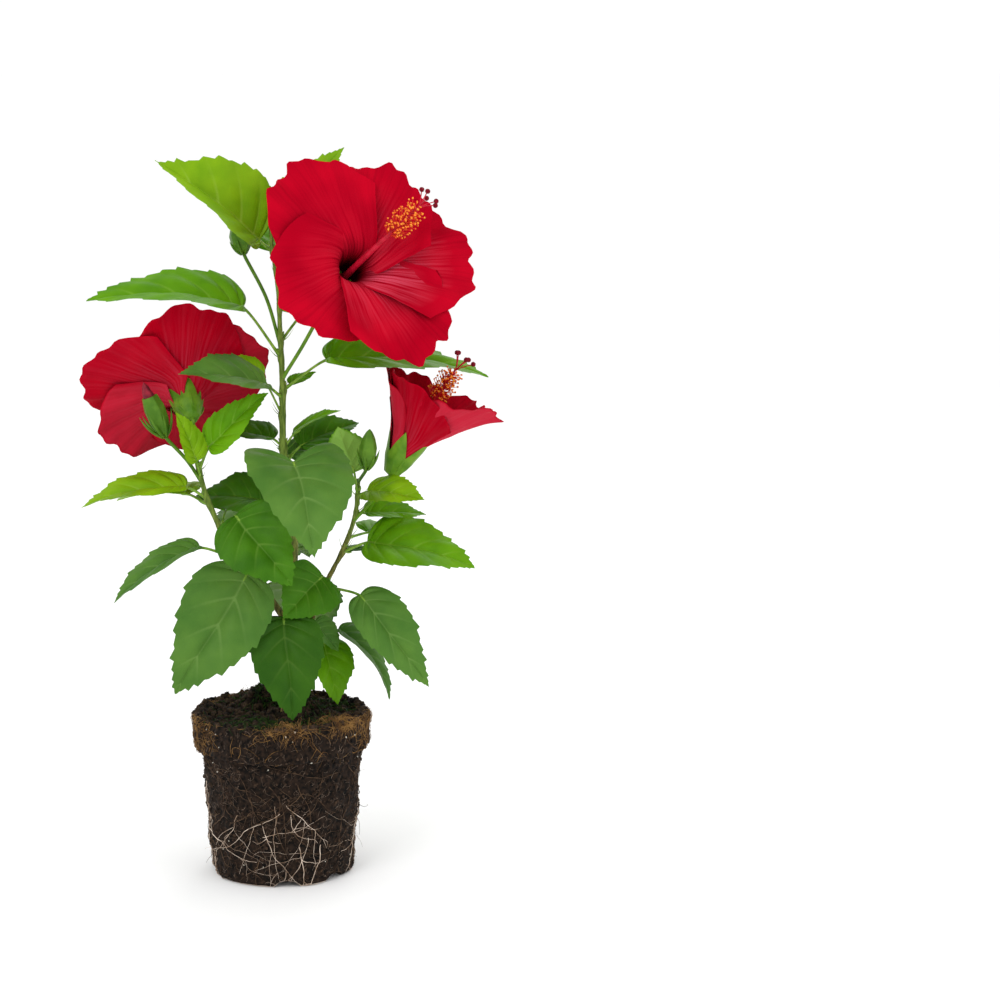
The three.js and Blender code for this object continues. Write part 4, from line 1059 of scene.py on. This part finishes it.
def ball_skin(turn, way, proud=0.0):
    """Points of the ball's skin at a turn and a way along its outline in metres.

    Three sizes of noise push the wall out from the ball's middle line and the crumbly top up, where wider
    noise and a bell curve add mounds. The underside stays flat, and the arches lift the lower edge.
    """
    radius = np.interp(way, OUTLINE_AT, OUTLINE[:, 0]) + 0 * turn
    height = np.interp(way, OUTLINE_AT, OUTLINE[:, 1]) + 0 * turn
    rough = np.stack([radius * np.sin(turn), -radius * np.cos(turn), height], axis=-1)
    lump = 1.5 * noise(rough, 11 * MM, 1) + 1.0 * noise(rough, 5 * MM, 2) + 0.6 * noise(rough, 2.4 * MM, 3)
    lump = (lump + proud) * MM * ease(way, OUTLINE_AT[1], OUTLINE_AT[3])
    on_top = ease(way, OUTLINE_AT[8], OUTLINE_AT[10])
    radius = np.maximum(radius + lump * (1 - on_top), 0)
    mound = 4.0 * noise(rough, 16 * MM, 7) * MM * (1 - ease(radius, 0.9 * OUTLINE[10, 0], OUTLINE[10, 0]))
    heap = MM * MOUND["out"] * direction(MOUND["bearing"], 0)
    away = np.linalg.norm((rough - heap)[..., :2], axis=-1) / (MOUND["width"] * MM)
    height = height + (1.8 * lump + mound + MOUND["height"] * MM * np.exp(-(away**2))) * on_top
    inner = BALL["base"] - ARCH["depth"]
    for bearing in ARCH["bearings"]:
        gap = np.mod(turn - math.radians(bearing) + np.pi, 2 * np.pi) - np.pi
        inside = np.clip(ARCH["radius"] ** 2 - (gap * radius / MM) ** 2, 0, None)
        arch = np.clip(np.sqrt(inside) - ARCH["drop"], 0, None) * MM * (np.abs(gap) < 1)
        arch = arch * ease(radius, inner * MM, (inner + 2) * MM)
        height = np.maximum(height, arch)
    return np.stack([radius * np.sin(turn), -radius * np.cos(turn), np.maximum(height, 0)], axis=-1)


def ball_surface():
    """The whole skin of the ball as a closed lathe of rows along the outline and columns round it."""
    underside = np.linspace(0, OUTLINE_AT[1], 8)[:-1]
    ways = np.concatenate([underside, np.linspace(OUTLINE_AT[1], OUTLINE_AT[-1], 150)])
    turn = np.linspace(0, 2 * np.pi, 301)
    points = ball_skin(turn[None, :], ways[:, None])
    return welded(surface(points, grid_faces(len(ways), len(turn))))


def root_walks(turn, way, heading, length, rng):
    """Ways of roots over the ball's wall: each wanders on from its start, and its heading drifts."""
    count, steps = len(turn), 36
    stride = rng.uniform(*length, (count, 1)) * MM / steps
    heading = heading[:, None] + np.cumsum(rng.normal(0, 0.11, (count, steps)), axis=1)
    turn = turn[:, None] + np.cumsum(np.sin(heading) * stride, axis=1) / (BALL["wall"] * MM)
    way = way[:, None] - np.cumsum(np.cos(heading) * stride, axis=1)
    return turn, np.clip(way, OUTLINE_AT[2], None), heading


def root_tubes(turn, way, thick, rng):
    """Roots as thin tubes half sunk in the ball's skin, thinner towards their ends, a few ending loose."""
    count, steps = turn.shape
    weave = 0.4 * np.sin(np.linspace(0, 9, steps) + rng.uniform(0, 6, (count, 1)))
    loose = rng.choice([0, 6.0], (count, 1), p=[0.92, 0.08]) * ease(np.linspace(0, 1, steps), 0.6, 1)
    path = ball_skin(turn, way, proud=0.7 + weave + loose)
    path[..., 2] = np.maximum(path[..., 2], 0.7 * MM)
    return tubes(path, rng.uniform(*thick, (count, 1)) * np.linspace(1, 0.4, steps) * MM, 6)


def roots(count, branches, length, low, high, spread, thick, rng):
    """Roots that run down the wall, and their branches, which leave them at a slant and are thinner."""
    start = OUTLINE_AT[3] + rng.uniform(low, high, count) * MM
    turn, heading = rng.uniform(0, 2 * np.pi, count), rng.normal(0, spread, count)
    turn, way, heading = root_walks(turn, start, heading, length, rng)
    parent, step = rng.integers(0, count, branches), rng.integers(4, 30, branches)
    slant = heading[parent, step] + rng.choice([-1, 1], branches) * rng.uniform(0.4, 1.0, branches)
    shorter = (0.25 * length[0], 0.6 * length[1])
    side_turn, side_way, _ = root_walks(turn[parent, step], way[parent, step], slant, shorter, rng)
    thinner = (0.5 * thick[0], 0.65 * thick[1])
    return joined([root_tubes(turn, way, thick, rng), root_tubes(side_turn, side_way, thinner, rng)])


def fibres(count, way_range, length, thick, lift, rng, patches=None, steps=8, slant=np.pi):
    """Fibres on the ball: threads that curve over its skin, each rising off it by a bow of its own height.

    They lie all round it, or gathered round patches, each with a bearing and a spread in degrees. Slant is
    how far their headings stray from level.
    """
    turn = rng.uniform(0, 2 * np.pi, count)
    if patches:
        middle, spread = np.radians(np.array(patches))[rng.integers(0, len(patches), count)].T
        turn = middle + spread * rng.normal(size=count)
    way = rng.uniform(*way_range, count)
    around = np.maximum(np.interp(way, OUTLINE_AT, OUTLINE[:, 0]), 6 * MM)[:, None]
    t = np.linspace(0, 1, steps)
    level = rng.choice([-0.5, 0.5], (count, 1)) * np.pi
    heading = level + rng.uniform(-slant, slant, (count, 1)) + rng.normal(0, 1.3, (count, 1)) * t
    stride = rng.uniform(*length, (count, 1)) * MM / len(t)
    turns = turn[:, None] + np.cumsum(np.sin(heading) * stride, axis=1) / around
    ways = way[:, None] + np.cumsum(np.cos(heading) * stride, axis=1)
    bow = rng.uniform(0, lift, (count, 1)) * np.sin(np.pi * t * rng.uniform(0.5, 1, (count, 1)))
    paths = ball_skin(turns, np.clip(ways, OUTLINE_AT[3], OUTLINE_AT[-1] - 4 * MM), proud=0.3 + bow)
    return tubes(paths, rng.uniform(*thick, (count, 1)) * np.linspace(1, 0.4, steps) * MM, 4)


def grains(count, way_range, size, rng):
    """Grains scattered over a stretch of the ball's skin, half sunk in it.

    A stretch that ends at the middle of the top gets them by the root of an even draw, so that they lie as
    densely near its edge as near its middle.
    """
    start, end = way_range
    turn = rng.uniform(0, 2 * np.pi, count)
    if end == OUTLINE_AT[-1]:
        way = end - np.sqrt(rng.uniform(0, 1, count)) * (end - start)
    else:
        way = rng.uniform(start, end, count)
    return lumps(ball_skin(turn, way), rng.uniform(*size, count) * MM, rng)


# ---- Building the plant ----


def build_stems():
    """Bark relief on the main stem and the two boughs, with stipules and axil buds at the joints."""
    rng = np.random.default_rng(5)
    bark = bark_material()
    add_piece("main_stem_bark", stem_surface("main"), bark, ["main_stem"])
    add_piece("left_bough_bark", stem_surface("left", 20), bark, ["left_bough"])
    add_piece("right_bough_bark", stem_surface("right", 20), bark, ["right_bough"])
    green = speckled_skin("young_shoot")
    add_piece("stipules", stipules(rng), green)
    add_piece("axil_buds", axil_buds(rng), green)


def build_leaves():
    """The leaves of each tint as one piece, and all their stalks as another."""
    for tint in LEAF_TINTS:
        names = [name for name, row in LEAVES.items() if row[5] == tint]
        blades = []
        for cell, name in enumerate(names):
            row = LEAVES[name]
            rng = np.random.default_rng(sum(map(ord, name)))
            # Listed leaves get their darkening share, partly painted shade and partly a darker green
            made = blade(row, BROAD_LEAVES.get(name, PLAIN_LEAF), DARKER_FOR_SHADE_AND_TONE.get(name, 0), cell, rng)
            blades.append(moved(made, *leaf_place(row)))
        add_piece("leaves_" + tint, joined(blades), leaf_material(tint), names)
    ways = [leaf_stalk(row) for row in LEAVES.values()]
    stalks = tubes(np.array([w[0] for w in ways]), np.array([w[1] for w in ways]), 10)
    add_piece("leaf_stalks", stalks, speckled_skin("leaf_stalk_skin"))


def build_flowers():
    """The three open flowers: petals, columns, threads, pollen heads, pads, calyxes, bracts and stalks."""
    velvet = petal_material()
    red, thread, pollen, fuzz, green = map(
        speckled_skin, ("column_skin", "thread_skin", "pollen", "stigma_fuzz", "calyx_skin")
    )
    cups, collars, stalks = [], [], []
    for index, (name, flower) in enumerate(FLOWERS.items()):
        rng = np.random.default_rng(20 + index)
        sheets = [petal(flower, k, k, rng) for k in range(5)]
        add_piece("petals_" + name, joined(sheets), velvet, ["bloom_" + name])
        path = column_path(flower, 40)
        filaments, anthers = threads_and_heads(path, rng)
        styles, stigmas = branches_and_pads(path)
        add_piece("column_" + name, joined([column_tube(path), styles]), red)
        add_piece("threads_" + name, filaments, thread)
        add_piece("pollen_heads_" + name, anthers, pollen)
        add_piece("stigmas_" + name, stigmas, fuzz)
        start, axes = flower_place(flower)
        cups.append(cup(start, axes, index, rng, flower["calyx"]))
        collars.append(bracts(start, axes, 7, 15, rng))
        stalks.append(flower_stalk(flower))
    add_piece("calyx_cups", joined(cups), green, ["calyx_" + name for name in FLOWERS])
    add_piece("flower_bracts", joined(collars), green)
    add_piece("flower_stalks", joined(stalks), green)


def build_buds():
    """The three closed buds: their stalks, calyxes and bracts, and the petals that one of them shows."""
    # The furled petals' skin is darkened as painted shade
    green, shaded_furled = speckled_skin("bud_skin"), speckled_skin("shaded_rolled_petal")
    parts = [bud_parts(row, np.random.default_rng(40 + k)) for k, row in enumerate(BUDS.values())]
    stalks, calyxes, rolled, collars = zip(*parts)
    add_piece("bud_calyxes", joined(calyxes), green, list(BUDS))
    add_piece("bud_stalks", joined(stalks), green)
    add_piece("bud_bracts", joined(collars), green)
    add_piece("bud_petals", joined(sum(rolled, [])), shaded_furled)


def build_ball():
    """The root ball: compost skin, crumbs, perlite, pale and brown roots, coir fibres and moss."""
    rng = np.random.default_rng(8)
    wall, band, rim, top = OUTLINE_AT[[3, 4, 9, -1]]
    compost, crumb, perlite, pale, hair, brown, coir, moss = map(speckled_skin, (
        "moist_compost", "compost_crumb", "perlite", "live_root", "fine_root_hair", "old_root", "coir_fibre",
        "moss",
    ))
    add_piece("root_ball_skin", ball_surface(), compost, ["root_ball"])
    crumbs = [grains(2400, (rim, top), (1.0, 3.6), rng), grains(2800, (wall, rim), (0.6, 1.6), rng)]
    add_piece("compost_crumbs", joined(crumbs), crumb)
    specks = [grains(26, (band - 12 * MM, rim), (0.5, 1.1), rng), grains(20, (wall, band), (0.4, 0.8), rng)]
    add_piece("perlite_grains", joined(specks), perlite)
    add_piece("pale_roots", roots(38, 110, (34, 80), 14, 68, 0.6, (0.17, 0.32), rng), pale)
    add_piece("brown_roots", roots(56, 120, (25, 60), 20, 84, 0.9, (0.2, 0.4), rng), brown)
    golden = [(-72, 11), (74, 9), (150, 20), (236, 14)]
    tufts = [(6, 10), (46, 6), (190, 10)]
    threads = [
        fibres(800, (band + 4 * MM, rim + 4 * MM), (5, 14), (0.09, 0.18), 1.2, rng, golden),
        fibres(640, (rim - 4 * MM, rim + 9 * MM), (7, 16), (0.08, 0.16), 4.0, rng, tufts, slant=1.0),
        fibres(160, (band, rim + 10 * MM), (6, 16), (0.08, 0.16), 1.5, rng),
    ]
    add_piece("coir_fibres", joined(threads), coir)
    web = fibres(1800, (wall, rim + 8 * MM), (3, 10), (0.06, 0.13), 1.0, rng, steps=5)
    add_piece("root_hairs", web, hair)
    cushions = [(-60, 16), (-30, 14), (-5, 10), (48, 8), (120, 16), (200, 14)]
    mossy = (rim + 3 * MM, top - 20 * MM)
    tangle = fibres(900, mossy, (6, 16), (0.3, 0.6), 1.4, rng, cushions, steps=6, slant=0.5)
    add_piece("moss_strands", tangle, moss)


def build_studio():
    """Pale floor, soft area lights, an even pale surrounding and the camera."""
    size = 30.0
    mesh = bpy.data.meshes.new("studio_floor")
    corners = [(-size, -size, 0), (size, -size, 0), (size, size, 0), (-size, size, 0)]
    mesh.from_pydata(corners, [], [(0, 1, 2, 3)])
    floor = bpy.data.objects.new("studio_floor", mesh)
    bpy.context.scene.collection.objects.link(floor)
    paper, _, _ = new_material("white_paper", {"Roughness": 0.9, "Base Color": colour("#FDFDFD")})
    mesh.materials.append(paper)
    world = bpy.data.worlds.new("studio")
    world.use_nodes = True
    background = world.node_tree.nodes["Background"]
    background.inputs["Color"].default_value = colour("#FFFFFF")
    background.inputs["Strength"].default_value = 1.03
    bpy.context.scene.world = world
    bpy.context.scene.view_settings.view_transform = "Standard"
    for name, (place, target, width, power) in LAMPS.items():
        data = bpy.data.lights.new(name, "AREA")
        data.shape = "SQUARE"
        data.size = width
        data.energy = power
        lamp = bpy.data.objects.new(name, data)
        bpy.context.scene.collection.objects.link(lamp)
        lamp.location = place
        back = unit(np.array(place) - np.array(target))
        lamp.rotation_euler = (math.acos(back[2]), 0, math.atan2(back[0], -back[1]))
    data = bpy.data.cameras.new("camera")
    data.sensor_width = CAMERA["sensor"]
    data.lens = CAMERA["lens"]
    camera = bpy.data.objects.new("camera", data)
    bpy.context.scene.collection.objects.link(camera)
    camera.location = CAMERA["place"]
    camera.rotation_euler = (math.radians(90 - CAMERA["down"]), 0, math.radians(-CAMERA["right"]))
    bpy.context.scene.camera = camera


build_ball()
build_stems()
build_leaves()
build_flowers()
build_buds()
build_studio()
